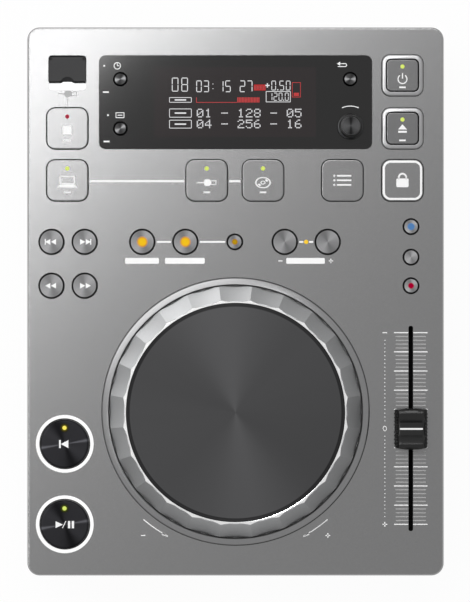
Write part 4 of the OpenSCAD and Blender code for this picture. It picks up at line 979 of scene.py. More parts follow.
class DISC_OT_panel_print(bpy.types.Operator):
    """White lines, pills, arrows and the fader's scale on the panel"""

    bl_idname = "disc_player.panel_print"
    bl_label = "Panel print"

    def execute(self, context):
        printing = settings("print")
        parts = self.links(printing.line) + self.pills() + self.turn_arrows() + self.scale_marks()
        stamp("panel_print", parts, PANEL_Z, ink("white_ink", printing.white), "root")
        pale = ink("pale_ink", printing.pale)
        stamp("fader_minor_ticks", self.minor_ticks(), PANEL_Z, pale, "root")
        stamp("port_mark", self.port_mark(), PANEL_Z, pale, "root")
        return {"FINISHED"}

    def links(self, width):
        """Lines that join the source buttons and the loop buttons."""
        gap = 1.0 * MM
        pairs = [("computer_button", "usb_source_button", 10.9, 10.9, width, -0.4),
                 ("usb_source_button", "disc_source_button", 10.9, 10.9, width, -0.4),
                 ("loop_in_button", "loop_out_button", 6.6, 6.6, 0.9 * MM, 0),
                 ("loop_out_button", "reloop_button", 6.6, 4.1, 0.9 * MM, 0)]
        parts = []
        for left, right, left_r, right_r, thick, drop in pairs:
            a, b = middle(left), middle(right)
            parts.append(span(a.x + left_r * MM + gap, b.x - right_r * MM - gap, a.y + drop * MM, thick))
        minus, plus = middle("beat_minus_button"), middle("beat_plus_button")
        lamp_x = (minus.x + plus.x) / 2
        parts.append(span(minus.x + 7.6 * MM, lamp_x - 1.5 * MM, minus.y, 0.9 * MM))
        parts.append(span(lamp_x + 1.5 * MM, plus.x - 7.6 * MM, minus.y, 0.9 * MM))
        return parts

    def pills(self):
        row = middle("loop_in_button").y - 9.95 * MM
        ends = [(-57.9, -40.2), (-37.0, -16.2), (26.6, 46.8)]
        parts = [plate((a + b) / 2 * MM, row, (b - a) * MM, 3.05 * MM, 0.6 * MM) for a, b in ends]
        parts.append(bar(23.5 * MM, row, 2.2 * MM, 0.5 * MM))
        return parts + plus_mark(50.0 * MM, row, 2.2 * MM)

    def turn_arrows(self):
        """Arrows beside the front of the jog wheel, with minus and plus."""
        r, stroke, parts = 74.4 * MM, 0.5 * MM, []
        for side, (start, stop) in ((-1, (-131, -118)), (1, (-62, -49))):
            parts.append(arc(JOG.x, JOG.y, r + stroke / 2, stroke, start, stop, 240))
            angle = math.radians(-90 + side * 30)
            parts.append(triangle(
                JOG.x + (r + 0.3 * MM) * math.cos(angle), JOG.y + (r + 0.3 * MM) * math.sin(angle),
                1.3 * MM, 3.6 * MM, angle + (math.pi if side > 0 else 0)))
        parts.append(bar(-48.4 * MM, -122.7 * MM, 2.4 * MM, 0.5 * MM))
        return parts + plus_mark(48.4 * MM, -122.7 * MM, 2.4 * MM)

    def port_mark(self):
        """Plug and line between the memory port and its stop button."""
        x = middle("port_door").x
        return [*plug_mark(x, 108.9 * MM), bar(x, 104.6 * MM, 0.4 * MM, 3.4 * MM)]

    def tick_rows(self, step, skip):
        """Y places of the fader's ticks, without those under the longer ones."""
        count = round(100.5 * MM / step)
        return [FADER.y + (i - count / 2) * step for i in range(count + 1) if not (skip and i % 5 == 0)]

    def tick_pair(self, y, reach, thick):
        slot = 1.3 * MM
        return [span(FADER.x - reach, FADER.x - slot, y, thick),
                span(FADER.x + slot, FADER.x + reach, y, thick)]

    def minor_ticks(self):
        return [part for y in self.tick_rows(2.01 * MM, True)
                for part in self.tick_pair(y, 7.9 * MM, 0.5 * MM)]

    def scale_marks(self):
        rows = self.tick_rows(10.05 * MM, False)
        parts = [part for y in rows for part in self.tick_pair(y, 8.8 * MM, 0.55 * MM)]
        x = FADER.x - 13.6 * MM
        for y in self.tick_rows(2.01 * MM, False)[2:-2]:
            if abs(y - FADER.y) > 2.5 * MM:
                parts.append(disc(x, y, 0.28 * MM, 12))
        nought = ring(x, FADER.y, 1.4 * MM, 0.4 * MM)
        nought.scale = (0.75, 1, 1)
        return [*parts, bar(x, rows[-1], 2.4 * MM, 0.5 * MM), nought, *plus_mark(x, rows[0], 2.4 * MM)]


# Lit segments of each digit: top, upper right, lower right, bottom, lower left, upper left, middle
SEGMENTS = {
    "0": "abcdef", "1": "bc", "2": "abdeg", "3": "abcdg", "4": "bcfg",
    "5": "acdfg", "6": "acdefg", "7": "abc", "8": "abcdefg", "9": "abcdfg",
}

# Common digit shapes, as rows of a five by seven dot matrix
DOT_DIGITS = {
    "0": "01110 10001 10011 10101 11001 10001 01110", "1": "00100 01100 00100 00100 00100 00100 01110",
    "2": "01110 10001 00001 00110 01000 10000 11111", "3": "01110 10001 00001 00110 00001 10001 01110",
    "4": "00010 00110 01010 10010 11111 00010 00010", "5": "11111 10000 11110 00001 00001 10001 01110",
    "6": "00110 01000 10000 11110 10001 10001 01110", "7": "11111 00001 00010 00100 01000 01000 01000",
    "8": "01110 10001 10001 01110 10001 10001 01110", "9": "01110 10001 10001 01111 00001 00010 01100",
    " ": "00000 00000 00000 00000 00000 00000 00000", "-": "00000 00000 00000 11111 00000 00000 00000",
}


class DISC_OT_display(bpy.types.Operator):
    """Window, display glass and what is lit on it"""

    bl_idname = "disc_player.display"
    bl_label = "Display"

    def execute(self, context):
        lamps = settings("lamps")
        acrylic = moulded("window_acrylic", settings("finish").window, rough=0.1, bump=0.0, IOR=1.4)
        dress(acrylic, "display_window")
        glass = plate(-0.3 * MM, 104.6 * MM, 85 * MM, 36.6 * MM, 0.6 * MM)
        material = moulded("glass_tint", (0.011, 0.0065, 0.0072), rough=0.1, bump=0.0, IOR=1.4)
        stamp("display_glass", [glass], WINDOW_Z, material, "root")
        lit_z = WINDOW_Z + settings("print").rise
        digits = self.time_digits() + self.boxes() + self.dot_row("01 - 128 - 05", -20.4 * MM, 96.5 * MM)
        digits += self.dot_row("04 - 256 - 16", -20.4 * MM, 90.8 * MM)
        lit = glowing("lit_digits", lamps.digits, 0.75)
        stamp("display_digits", digits, lit_z, lit, "root")
        meter = glowing("lit_meter", lamps.meter, 0.9)
        stamp("display_meter", self.meters(), lit_z, meter, "root")
        self.window_marks()
        return {"FINISHED"}

    def digit(self, figure, x, y, h, stroke):
        """Seven-segment figure with its lower left corner at x, y."""
        w = h * 0.47
        half = (h - stroke) / 2
        level = {"a": h - stroke / 2, "g": h / 2, "d": stroke / 2}
        left, right, low, high = stroke / 2, w - stroke / 2, h / 2 - half / 2, h / 2 + half / 2
        upright = {"b": (right, high), "c": (right, low), "f": (left, high), "e": (left, low)}
        long = w - 1.5 * stroke
        tall = half - 1.1 * stroke
        return [bar(x + w / 2, y + level[s], long, stroke) if s in level
                else bar(x + upright[s][0], y + upright[s][1], stroke, tall) for s in SEGMENTS[figure]]

    def number(self, text, x, y, h, pitch, stroke):
        """Row of figures. A point stands between two figures and a colon takes a place of its own."""
        parts = []
        for figure in text:
            if figure == ".":
                parts.append(bar(x - 0.02 * pitch, y + 0.8 * stroke, 1.6 * stroke, 1.6 * stroke))
                x += 0.24 * pitch
                continue
            if figure == ":":
                parts += [bar(x + 0.3 * pitch, y + h * share, stroke, stroke) for share in (0.3, 0.7)]
            elif figure != " ":
                parts += self.digit(figure, x, y, h, stroke)
            x += pitch
        return parts

    def time_digits(self):
        return (self.number("08", -33.4 * MM, 110.1 * MM, 7.3 * MM, 5.0 * MM, 0.42 * MM)
                + self.number("03:15 27", -20.6 * MM, 109.8 * MM, 6.1 * MM, 3.8 * MM, 0.42 * MM)
                + self.number("0.50", 18.8 * MM, 110.7 * MM, 5.1 * MM, 3.4 * MM, 0.38 * MM)
                + self.number("120.0", 17.3 * MM, 105.3 * MM, 4.2 * MM, 2.65 * MM, 0.33 * MM)
                + plus_mark(16.7 * MM, 113.3 * MM, 2.3 * MM))

    def boxes(self):
        """Outlined fields beside the rows, each with a bar instead of a word."""
        stroke, parts = 0.32 * MM, []
        for y, h in ((105.7, 2.8), (98.8, 4.7), (93.0, 4.5)):
            parts.append(hollow(plate(-28.9 * MM, y * MM, 11.8 * MM, h * MM, 0.5 * MM), stroke))
            parts.append(bar(-28.9 * MM, y * MM, 6.0 * MM, 0.7 * MM))
        parts.append(hollow(plate(22.4 * MM, 107.4 * MM, 13.0 * MM, 5.8 * MM, 0.2 * MM), stroke))
        return parts

    def dot_row(self, text, left, low):
        """Dot matrix: a grid inset face by face, less the dots that are off."""
        columns, rows, pitch, rise = 6 * len(text), 7, 0.715 * MM, 0.66 * MM
        bpy.ops.mesh.primitive_grid_add(
            x_subdivisions=columns, y_subdivisions=rows, size=1,
            location=(left + columns * pitch / 2, low + rows * rise / 2, 0))
        grid = bpy.context.object
        grid.scale = (columns * pitch, rows * rise, 1)
        settle(grid)
        edit_all(grid)
        bpy.ops.mesh.inset(thickness=0.07 * MM, use_individual=True)
        bpy.ops.mesh.select_all(action="INVERT")
        bpy.ops.mesh.delete(type="FACE")
        leave()

        def is_off(at, _):
            column, row = int((at.x - left) / pitch), rows - 1 - int((at.y - low) / rise)
            cell, inner = divmod(column, 6)
            return inner == 5 or DOT_DIGITS[text[cell]].split()[row][inner] == "0"

        cut_faces(grid, is_off)
        return [grid]

    def meters(self):
        """Hatched bars and the outlined meter."""
        parts = [hollow(plate(31.9 * MM, 111.0 * MM, 4.6 * MM, 7.9 * MM, 0.2 * MM), 0.3 * MM),
                 bar(31.9 * MM, 108.6 * MM, 2.7 * MM, 1.7 * MM),
                 *(span(9.6 * MM, 15.8 * MM, y * MM, 0.5 * MM) for y in (113.5, 110.9)),
                 bar(-20.5 * MM, 105.7 * MM, 0.3 * MM, 2.7 * MM),
                 span(-20.6 * MM, 0.8 * MM, 104.4 * MM, 0.3 * MM)]
        for left, count, y, h in ((9.6, 8, 112.2, 3.1), (0.9, 15, 105.7, 2.7)):
            parts += [bar((left + 0.3 + i * 0.79) * MM, y * MM, 0.58 * MM, h * MM) for i in range(count)]
        return parts

    def window_marks(self):
        white = ink("window_ink", settings("print").white)
        parts = [disc(-68.9 * MM, 123.6 * MM, 0.5 * MM, 16), bar(-68.0 * MM, 109.8 * MM, 3.1 * MM, 0.8 * MM),
                 disc(-66.9 * MM, 97.7 * MM, 0.5 * MM, 16), bar(-67.6 * MM, 83.9 * MM, 3.1 * MM, 0.8 * MM)]
        parts += clock_mark(-62.0 * MM, 123.6 * MM) + screen_mark(-60.6 * MM, 97.7 * MM)
        parts += return_mark(56.0 * MM, 124.1 * MM)
        parts += [arc(KNOB.x, KNOB.y, 11 * MM, 0.45 * MM, 65, 115)]
        stamp("window_print", parts, WINDOW_Z, white, "root")


SQUARE_LAMPS = {
    "usb_stop_button": "red", "computer_button": "green", "usb_source_button": "green",
    "disc_source_button": "green", "power_button": "green", "eject_button": "green",
}


class DISC_OT_square_buttons(bpy.types.Operator):
    """Large square buttons, power and eject, with marks and lamps"""

    bl_idname = "disc_player.square_buttons"
    bl_label = "Square buttons"

    def execute(self, context):
        finish, white = settings("finish"), ink("button_ink", settings("print").white)
        marks = {
            "usb_stop_button": (stop_mark, -0.9), "computer_button": (laptop_mark, -0.7),
            "usb_source_button": (plug_mark, -1.2), "disc_source_button": (disc_mark, -1.2),
            "playlist_button": (list_mark, 0.0), "bpm_lock_button": (padlock_mark, 0.3),
            "power_button": (power_mark, -2.0), "eject_button": (eject_mark, 0.3),
        }
        framed = ("power_button", "eject_button")
        # the caps' sides get painted shade below this height, for the dark gap round them
        shaded = PANEL_Z - 0.1 * MM
        plain = [node for node in marks if node not in framed]
        dress(flaked("button_paint", finish.button, dark_below=shaded), *plain)
        dress(flaked("framed_paint", finish.framed, dark_below=shaded), *framed)
        for node, (mark, drop) in marks.items():
            at = middle(node)
            parts = mark(at.x, at.y + drop * MM)
            if node in SQUARE_LAMPS:
                parts.append(bar(at.x, at.y - 6.3 * MM, 3.4 * MM, 0.85 * MM))
            if node == "bpm_lock_button":
                side = 20.6 * MM
                parts.append(hollow(plate(at.x, at.y, side, side, 4.1 * MM, 10), 1.1 * MM))
            stamp(node.replace("button", "mark"), parts, top_of(node), white, node)
            if node in SQUARE_LAMPS:
                add_lamp(node, at.x, at.y + (4.6 if node in framed else 6.2) * MM, SQUARE_LAMPS[node])
        return {"FINISHED"}


def add_lamp(node, x, y, colour, name=None, body=None, z=None):
    """A low domed lens, set in a cap or in the panel."""
    lamps = settings("lamps")
    r = lamps.radius
    z = top_of(node) if z is None else z
    profile = [(CORE, z - 0.3 * MM), (r, z - 0.3 * MM), (r, z + 0.08 * MM), (r * 0.8, z + 0.2 * MM),
               (r * 0.4, z + 0.28 * MM), (CORE, z + 0.3 * MM)]
    lens = smooth(lathe(name or node.replace("button", "lamp"), (x, y), profile, 32), 60)
    material = shared(colour + "_lens", glowing, getattr(lamps, colour), 1.0)
    return place(lens, material, body or node)


class DISC_OT_round_buttons(bpy.types.Operator):
    """Round buttons with turned tops, marks and lamps"""

    bl_idname = "disc_player.round_buttons"
    bl_label = "Round buttons"

    def execute(self, context):
        finish, lamps = settings("finish"), settings("lamps")
        white = ink("round_ink", settings("print").white)
        plain = ["track_back", "track_forward", "search_back", "search_forward", "beat_minus", "beat_plus",
                 "tempo_range", "loop_in", "loop_out", "reloop", "vinyl", "master_tempo"]
        amber = (lamps.amber, lamps.amber_edge)
        lit = {"loop_in": (*amber, 3.3, 1.0), "loop_out": (*amber, 3.3, 1.0), "reloop": (*amber, 1.9, 0.5),
               "vinyl": (lamps.blue, lamps.blue, 2.3, 1.0), "master_tempo": (lamps.red, lamps.red, 1.9, 1.2)}
        bright = ("vinyl", "tempo_range", "master_tempo")
        window = {"time_mode": 14, "display_mode": 33, "back": 0}  # degrees that each one's sheen is turned
        for name in plain + list(window):
            node = name + "_button"
            share = 0.24 if name in window else 1.3 if name in bright else 1.0
            colour = [part * share for part in finish.spun]
            sheens = self.painted_window_sheens(window[name]) if name in window else self.painted_panel_sheens()
            # painted shade on each cap's side below its face and on a thin band round its top, for the dark
            # gap round it
            material = spun(name + "_spun", colour, middle(node), sheens=sheens, dark_below=self.shade_z(node),
                            dark_beyond=self.cap_radius(node) - 0.62 * MM)
            if name in lit:
                core, edge, radius, strength = lit[name]
                lit_from_below(material, core, edge, middle(node), radius * MM, strength)
            dress(material, node)
        for name, mark, side in (("track_back", skip_mark, -1), ("track_forward", skip_mark, 1),
                                 ("search_back", arrow_pair, -1), ("search_forward", arrow_pair, 1)):
            node = name + "_button"
            at = middle(node)
            stamp(name + "_mark", mark(at.x, at.y, side), top_of(node), white, node)
        minus, plus = middle("beat_minus_button"), middle("beat_plus_button")
        add_lamp(None, (minus.x + plus.x) / 2, minus.y, "amber", "beat_lamp", "root", PANEL_Z)
        return {"FINISHED"}

    def shade_z(self, node):
        """Height under which a cap gets painted shade: just inside the face that it stands in."""
        return (PANEL_Z if top_of(node) > PANEL_Z + 0.9 * MM else WINDOW_Z) - 0.1 * MM

    def cap_radius(self, node):
        """Radius of a cap at its top."""
        at, high = middle(node), top_of(node)
        points = frame["nodes"][node].data.vertices
        return max(math.hypot(v.co.x - at.x, v.co.y - at.y) for v in points if v.co.z > high - 0.6 * MM)

    def painted_panel_sheens(self):
        # painted highlight bow tie and painted shade wedge on the panel's round caps
        return [(50, 0.35, 2.0), (112, -0.3, 4.0)]

    def painted_window_sheens(self, turn):
        # strong painted highlight bow tie and a painted shade wedge on the window's caps
        return [(turn, 5.0, 5.0), (turn + 62, -0.5, 3.0)]


class DISC_OT_transport(bpy.types.Operator):
    """Cue and play: black turned caps in white rings with a painted glow"""

    bl_idname = "disc_player.transport"
    bl_label = "Cue and play"

    def execute(self, context):
        colour, white = settings("finish").transport, ink("transport_ink", settings("print").white)
        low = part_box("trim_rings")[0].z
        for name, mark, lamp in (("cue", cue_mark, "yellow"), ("play", play_pause_mark, "green")):
            node = name + "_button"
            at = middle(node)
            # painted highlight streak, and painted highlight and shade wedges, on each cap's turned top
            sheens = [(9.5, 3.0, 260.0), (140, 0.3, 3.0), (113, -0.65, 9.0)]
            # the cap's side below the panel gets painted shade
            cap = spun(name + "_spun", colour, at, fan=0.15, sheens=sheens, dark_below=PANEL_Z)
            # painted glow: a faint pool of the lamp's colour on the black cap round its lens
            halo = [0.12 * part for part in getattr(settings("lamps"), lamp)]
            edge, lamp_y = [0.2 * part for part in halo], at.y + 8.5 * MM
            dress(lit_from_below(cap, halo, edge, (at.x, lamp_y), 2.7 * MM, 1.0), node)
            stamp(name + "_mark", mark(at.x, at.y), top_of(node), white, node)
            add_lamp(node, at.x, lamp_y, lamp)
            self.light_ring(name + "_light_ring", at, low)
        return {"FINISHED"}

    def light_ring(self, name, at, low):
        inner, outer, flange = 13.45 * MM, 15.0 * MM, 16.5 * MM
        lip, high = low + 1.2 * MM, PANEL_Z + 0.8 * MM
        profile = [(inner, low), (flange, low), (flange, lip), (outer, lip), (outer, high - 0.25 * MM),
                   (outer - 0.25 * MM, high), (inner + 0.2 * MM, high), (inner, high - 0.2 * MM)]
        made = smooth(lathe(name, at, profile, 128))
        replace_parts(made, "trim_rings")
        # painted glow: the white ring glows of itself, so that it shows pure white
        place(made, shared("ring_diffuser", glowing, (0.95, 0.95, 0.95), 1.0), "root")


class DISC_OT_surrounds(bpy.types.Operator):
    """Raised silver surrounds of power and eject"""

    bl_idname = "disc_player.surrounds"
    bl_label = "Surrounds"

    def execute(self, context):
        material = flaked("surround_silver", settings("finish").trim, rough=0.28)
        outer, opening, gap_shade_side = 21.7 * MM, 17.5 * MM, 22.3 * MM
        hole_reach = 9 * MM  # from the middle: past the opening's walls, short of the outer ones
        for name in ("power", "eject"):
            at = middle(name + "_button")
            made = bevel(slab(at.x, at.y, PANEL_Z, outer, outer, 1.8 * MM, 4.5 * MM, 10), 0.8 * MM, 4, 60)
            cut_away(made, slab(at.x, at.y, PANEL_Z - 1 * MM, opening, opening, 4 * MM, 2.95 * MM, 8))
            made.name = name + "_surround"
            made.data.name = made.name
            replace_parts(smooth(made), "trim_rings")
            place(made, material, "root")
            # painted shade: the walls of the opening are black, for the dark gap round the button
            finish_faces(made, joint_black(), lambda spot, normal, at=at: abs(normal.z) < 0.3
                         and max(abs(spot.x - at.x), abs(spot.y - at.y)) < hole_reach)
            # painted shade: a black frame on the panel round the surround, for the dark line at its foot
            gap_shade = hollow(plate(at.x, at.y, gap_shade_side, gap_shade_side, 4.8 * MM, 10), 0.5 * MM)
            stamp(name + "_joint", [gap_shade], PANEL_Z, joint_black(), "root")
        return {"FINISHED"}


class DISC_OT_jog(bpy.types.Operator):
    """Jog wheel: fixed ring, dimpled dial and turned platter"""

    bl_idname = "disc_player.jog"
    bl_label = "Jog wheel"

    dimples = 24
    columns = 12  # of the mesh across each dimple
    rows = 6      # of the mesh down each dimple
    foot_z, top_r, dip, lip_r = 3.8 * MM, 58.9 * MM, 0.85 * MM, 56.95 * MM

    def execute(self, context):
        finish = settings("finish")
        self.dial(finish)
        # painted highlight bow tie across the platter
        sheens = [(99, 0.45, 4.0)]
        # the platter's outer band gets painted shade, for the dark gap before the dial's rim
        platter = spun("platter_spun", finish.platter, JOG, rough=0.5, rings=6000.0, fan=0.1, sheens=sheens,
                       dark_beyond=55.0 * MM, outer_share=0.45)
        dress(platter, "jog_platter")
        self.fixed_ring(finish)
        return {"FINISHED"}

    def dial(self, finish):
        """Turned body with its web and hub, whose flank is then pressed into dimples."""
        low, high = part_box("jog_dial")
        outer, top = (high.x - low.x) / 2, high.z - PANEL_Z
        flank = [(outer + (self.top_r - outer) * row / self.rows,
                  self.foot_z + (top - 0.2 * MM - self.foot_z) * row / self.rows)
                 for row in range(self.rows + 1)]
        crest = (self.top_r - 0.15 * MM, top)
        rim_r, web, hub_r, hub_top, bore_r = 57.9 * MM, 8.4 * MM, 10 * MM, 10.4 * MM, 5.06 * MM
        body = [(63.5 * MM, 0.6 * MM), (outer, 0.6 * MM), *flank, crest, (self.lip_r + 0.2 * MM, top),
                (self.lip_r, top - 0.15 * MM), (self.lip_r, top - 0.45 * MM), (rim_r, top - 0.45 * MM),
                (rim_r, web), (hub_r, web), (hub_r, hub_top), (bore_r, hub_top), (bore_r, low.z - PANEL_Z),
                (hub_r, low.z - PANEL_Z), (hub_r, 6 * MM), (58.2 * MM, 6 * MM), (62 * MM, 5 * MM)]
        raised = [(r, PANEL_Z + z) for r, z in body]
        made = lathe("jog_dial_dimpled", JOG, raised, self.dimples * self.columns)
        slope = (flank[-1][1] - flank[0][1]) / (outer - self.top_r)
        for radius, height in [*flank[1:], crest]:
            self.press(made, radius, PANEL_Z + height, 0)
        self.press(made, outer, PANEL_Z + self.foot_z, slope)
        slit = lathe("slit_ring", JOG, [(r, PANEL_Z + z * MM) for r, z in (
            (47.8 * MM, 2), (48.6 * MM, 2), (48.6 * MM, 6.1), (47.8 * MM, 6.1))])
        made = smooth(join("jog_dial_dimpled", [made, slit]), 12)
        place(made, flaked("dial_paint", finish.dial, rough=0.5), "jog_dial")
        finish_faces(made, flaked("rim_polish", finish.rim, rough=0.22),
                     lambda at, normal: at.z > high.z - 0.17 * MM and normal.z > 0.5)
        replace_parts(made, "jog_dial")
        bpy.data.collections["lit_by_side_lamp"].objects.link(made)

    def press(self, made, radius, height, slope):
        """Moves one row of the flank inwards, most at each dimple's middle. With a slope it moves down."""
        half = math.pi / self.dimples
        step = 2 * half / self.columns
        for column in range(self.columns // 2):
            offset = column * step
            dip = self.dip * (1 - (offset / half) ** 2)

            def in_column(at, offset=offset):
                reach = math.hypot(at.x - JOG.x, at.y - JOG.y)
                angle = math.atan2(at.y - JOG.y, at.x - JOG.x)
                own = abs((angle + half) % (2 * half) - half)
                return (abs(at.z - height) < 0.02 * MM and abs(reach - radius) < 0.02 * MM
                        and abs(own - offset) < step / 4)

            if slope:
                cut = (radius + dip) * math.cos(offset) / math.cos(half) - radius
                move_points(made, in_column, (0, 0, -slope * cut))
            else:
                ratio = math.cos(half) / math.cos(offset) - dip / radius
                scale_points(made, in_column, (ratio, ratio, 1), (JOG.x, JOG.y, height))

    def fixed_ring(self, finish):
        """Ring that slopes outwards, with a rounded outer edge and black rings of painted shade beside it."""
        inner, outer, high = 66.7 * MM, 70.1 * MM, PANEL_Z + 2.4 * MM
        profile = [(inner, PANEL_Z), (outer, PANEL_Z), (outer, PANEL_Z + 0.8 * MM),
                   (outer - 0.1 * MM, PANEL_Z + 1.1 * MM), (outer - 0.4 * MM, high - 0.98 * MM),
                   (inner + 0.5 * MM, high - 0.08 * MM), (inner + 0.15 * MM, high), (inner, high - 0.15 * MM)]
        made = smooth(lathe("jog_ring", JOG, profile, 192), 25)
        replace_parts(made, "trim_rings")
        place(made, flaked("ring_paint", finish.ring, rough=0.3), "root")
        # painted shade: a thin black ring outside the fixed ring, and a wide black well inside it under the
        # dial's edge
        gap_shades = [ring(JOG.x, JOG.y, outer + 0.3 * MM, 0.35 * MM, 192),
                  ring(JOG.x, JOG.y, inner, 4.5 * MM, 192)]
        stamp("jog_joint", gap_shades, PANEL_Z, joint_black(), "root")


class DISC_OT_knob(bpy.types.Operator):
    """Select knob with a knurled skirt"""

    bl_idname = "disc_player.knob"
    bl_label = "Select knob"

    def execute(self, context):
        low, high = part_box("select_knob")
        z = PANEL_Z + 1.0 * MM
        skirt, top, shaft = 6.9 * MM, 5.5 * MM, 3.0 * MM
        profile = [(CORE, low.z), (shaft, low.z), (shaft, z), (skirt - 0.2 * MM, z), (skirt, z + 0.3 * MM),
                   (skirt, z + 1.9 * MM), (skirt - 0.35 * MM, z + 2.3 * MM), (top + 0.6 * MM, z + 2.4 * MM),
                   (top, high.z - 0.8 * MM), (top - 0.2 * MM, high.z - 0.3 * MM),
                   (top - 0.7 * MM, high.z - 0.1 * MM), (top - 0.75 * MM, high.z - 0.4 * MM),
                   (top - 0.95 * MM, high.z - 0.4 * MM), (top - 1.0 * MM, high.z), (CORE, high.z)]
        made = lathe("select_knob_turned", KNOB, profile, 144)
        self.knurl(made, z, skirt)
        smooth(made, 30)
        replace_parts(made, "select_knob")
        # painted highlight left and right and painted shade top and bottom on the knob's top
        material = spun("knob_spun", (0.0215, 0.0215, 0.022), KNOB, sheens=[(0, 0.9, 1.0), (90, -0.7, 12.0)])
        place(made, material, "select_knob")
        finish_faces(made, moulded("knob_side", (0.012, 0.012, 0.012), rough=0.3),
                     lambda at, normal: normal.z < 0.5 or z + 2.6 * MM < at.z < high.z - 0.32 * MM)
        return {"FINISHED"}

    def knurl(self, made, z, skirt):
        """Pulls every third column of the skirt inwards."""

        def is_groove(at):
            r = math.hypot(at.x - KNOB.x, at.y - KNOB.y)
            column = round(math.degrees(math.atan2(at.y - KNOB.y, at.x - KNOB.x)) / 2.5)
            return r > skirt - 0.3 * MM and z < at.z < z + 2.2 * MM and column % 3 == 0

        scale_points(made, is_groove, (0.955, 0.955, 1), (KNOB.x, KNOB.y, z))


class DISC_OT_door(bpy.types.Operator):
    """Door of the memory port and its tub"""

    bl_idname = "disc_player.door"
    bl_label = "Port door"

    def execute(self, context):
        satin = moulded("door_satin", (0.02, 0.02, 0.021), rough=0.4, bump=0.04, Specular_IOR_Level=0.2)
        dress(satin, "port_door")
        dress(moulded("tub_black", (0.03, 0.03, 0.03), rough=0.5), "port_socket")
        return {"FINISHED"}


class DISC_OT_fader(bpy.types.Operator):
    """Fader cap with ribbed sides, its line, lever and carriage"""

    bl_idname = "disc_player.fader"
    bl_label = "Pitch fader"

    valley_depth = 3.4 * MM

    def execute(self, context):
        low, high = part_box("fader_cap")
        base = PANEL_Z + 0.8 * MM
        w, d, h = high.x - low.x, high.y - low.y, high.z - base
        cap = self.cap_body(base, w, d, h)
        ribs = self.ribs(base, w, h)
        made = join("fader_cap_ribbed", [cap, *ribs])
        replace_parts(smooth(made, 28), "fader_cap")
        gloss = moulded("fader_gloss", (0.006, 0.006, 0.006), rough=0.24, bump=0.05, IOR=1.34)
        place(made, gloss, "fader_cap")
        grip = moulded("fader_grip", (0.004, 0.004, 0.004), rough=0.6, Specular_IOR_Level=0.1)
        finish_faces(made, grip, lambda at, normal: abs(normal.x) > 0.6 or abs(at.x - FADER.x) > 0.44 * w)
        line = bar(FADER.x, FADER.y, 12.0 * MM, 0.9 * MM)
        valley = base + h - self.valley_depth
        white = ink("fader_ink", settings("print").white)
        stamp("fader_line", [line], valley, white, "fader_cap")
        lever = block(FADER.x, FADER.y, low.z + 2.2 * MM, 1.2 * MM, 5 * MM, base - low.z)
        carriage = block(FADER.x, FADER.y, low.z, 8 * MM, 14 * MM, 5 * MM)
        steel = soften(join("fader_lever", [lever, carriage]), 0.2 * MM)
        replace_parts(steel, "fader_cap")
        place(steel, drawn("lever_steel", (0.55, 0.55, 0.55)), "fader_cap")
        return {"FINISHED"}

    def cap_body(self, base, w, d, h):
        """A block cut into strips, with crowned ends, and a top with two raised ends and a flat valley."""
        made = block(FADER.x, FADER.y, base, w, d, h)
        backs = {0.5: 0.8, 0.38: 0.42, 0.22: 0.1}  # mm that the ends draw back, by share of the width
        for share in (-0.38, -0.22, 0.22, 0.38):
            split(made, (FADER.x + share * w, FADER.y, base), (1, 0, 0))
        for share, back in backs.items():
            for end in (-1, 1):
                move_points(made, lambda at, share=share, end=end:
                            abs(at.y - FADER.y - end * d / 2) < 0.01 * MM
                            and abs(abs(at.x - FADER.x) - share * w) < 0.05 * MM, (0, -end * back * MM, 0))
        for share in (-0.44, -0.36, -0.27, -0.19, -0.15, 0.15, 0.19, 0.27, 0.36, 0.44):
            split(made, (FADER.x, FADER.y + share * d, base), (0, 1, 0))
        # mm that the top falls, by share of the length
        falls = {0.5: 1.9, 0.44: 0.5, 0.36: 0.05, 0.27: 1.2, 0.19: 2.7, 0.15: self.valley_depth / MM}
        for share, fall in falls.items():
            near = 0.9 * MM if share == 0.5 else 0.05 * MM
            move_points(made, lambda at, share=share, near=near: at.z > base + h - 0.01 * MM
                        and abs(abs(at.y - FADER.y) - share * d) < near, (0, 0, -fall * MM))
        scale_points(made, lambda at: at.z > base + h * 0.5, (0.8, 1, 1), (FADER.x, FADER.y, base))
        return soften(made, 0.5 * MM)

    def ribs(self, base, w, h):
        """Upright ribs down both sides."""
        parts = []
        lean = math.atan(w * 0.1 / h)
        for side in (-1, 1):
            for i in range(9):
                y = FADER.y + (i - 4) * 1.9 * MM
                bpy.ops.mesh.primitive_cylinder_add(
                    vertices=8, radius=0.38 * MM, depth=h * 0.58,
                    location=(FADER.x + side * w * 0.468, y, base + h * 0.32), rotation=(0, -side * lean, 0))
                parts.append(bpy.context.object)
        return parts


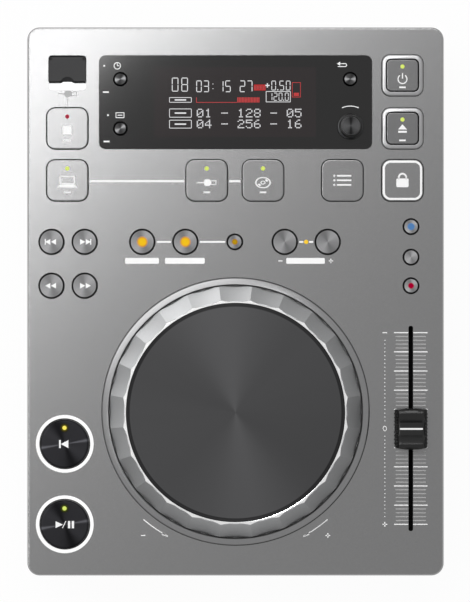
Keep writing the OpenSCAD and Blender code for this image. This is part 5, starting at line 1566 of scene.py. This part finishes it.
class DISC_OT_sockets(bpy.types.Operator):
    """Metal and coloured faces of the rear sockets"""

    bl_idname = "disc_player.sockets"
    bl_label = "Rear sockets"

    def execute(self, context):
        dress(moulded("socket_plastic", (0.025, 0.025, 0.026), rough=0.45), "rear_sockets")
        nickel = drawn("socket_nickel", (0.6, 0.6, 0.6), rough=0.22)
        mounts = {m["name"]: m for m in frame["record"]["mounts"]}
        for name, colour in (("phono_left", (0.8, 0.8, 0.78)), ("phono_right", (0.55, 0.02, 0.02))):
            mount = mounts[name]
            x, face, z = mount["pos_m"]
            r = mount["dims"]["r_mm"] * MM
            self.face_ring(name + "_sleeve", x, face, z, r + 0.02 * MM, 3.3 * MM, -8.6 * MM, nickel)
            insulator = moulded(name + "_insulator", colour, rough=0.35, variation=0.08)
            self.face_ring(name + "_insulator", x, face, z, 3.3 * MM, 1.7 * MM, -0.2 * MM, insulator)
        return {"FINISHED"}

    def face_ring(self, name, x, face, z, outer, inner, back, material):
        """A ring that faces +Y: turned upright, then laid over."""
        front = 0.06 * MM
        profile = [(inner, back), (outer, back), (outer, front - 0.03 * MM), (outer - 0.1 * MM, front),
                   (inner, front)]
        made = lathe(name, (0, 0), profile, 48)
        made.rotation_euler = (-math.pi / 2, 0, 0)
        made.location = (x, face, z)
        smooth(settle(made))
        place(made, material, "root")


STEPS = (DISC_OT_stage, DISC_OT_casing, DISC_OT_works, DISC_OT_panel_print, DISC_OT_display,
         DISC_OT_square_buttons, DISC_OT_round_buttons, DISC_OT_transport, DISC_OT_surrounds, DISC_OT_jog,
         DISC_OT_knob, DISC_OT_door, DISC_OT_fader, DISC_OT_sockets)
GROUPS = {"finish": FinishSettings, "print": PrintSettings, "lamps": LampSettings, "stage": StageSettings}


class DISC_PT_player(bpy.types.Panel):
    """Lists the player's settings and pieces"""

    bl_idname = "DISC_PT_player"
    bl_label = "Disc Player"
    bl_space_type = "VIEW_3D"
    bl_region_type = "UI"
    bl_category = "Disc Player"

    def draw(self, context):
        for name, group in GROUPS.items():
            for key in group.__annotations__:
                self.layout.prop(settings(name), key)
        for step in STEPS:
            self.layout.operator(step.bl_idname)


def register():
    for name, group in GROUPS.items():
        bpy.utils.register_class(group)
        setattr(bpy.types.Scene, "disc_player_" + name, bpy.props.PointerProperty(type=group))
    for step in (*STEPS, DISC_PT_player):
        bpy.utils.register_class(step)


def unregister():
    for step in (DISC_PT_player, *reversed(STEPS)):
        bpy.utils.unregister_class(step)
    for name, group in GROUPS.items():
        delattr(bpy.types.Scene, "disc_player_" + name)
        bpy.utils.unregister_class(group)


def main():
    register()
    for build in (build_mould_grain, build_paint_flake, build_spun_rings, build_straight_brushing,
                  build_painted_turned_sheen, build_lamp_glow):
        build()
    for step in STEPS:
        category, name = step.bl_idname.split(".")
        getattr(getattr(bpy.ops, category), name)()


if __name__ == "__main__":
    main()
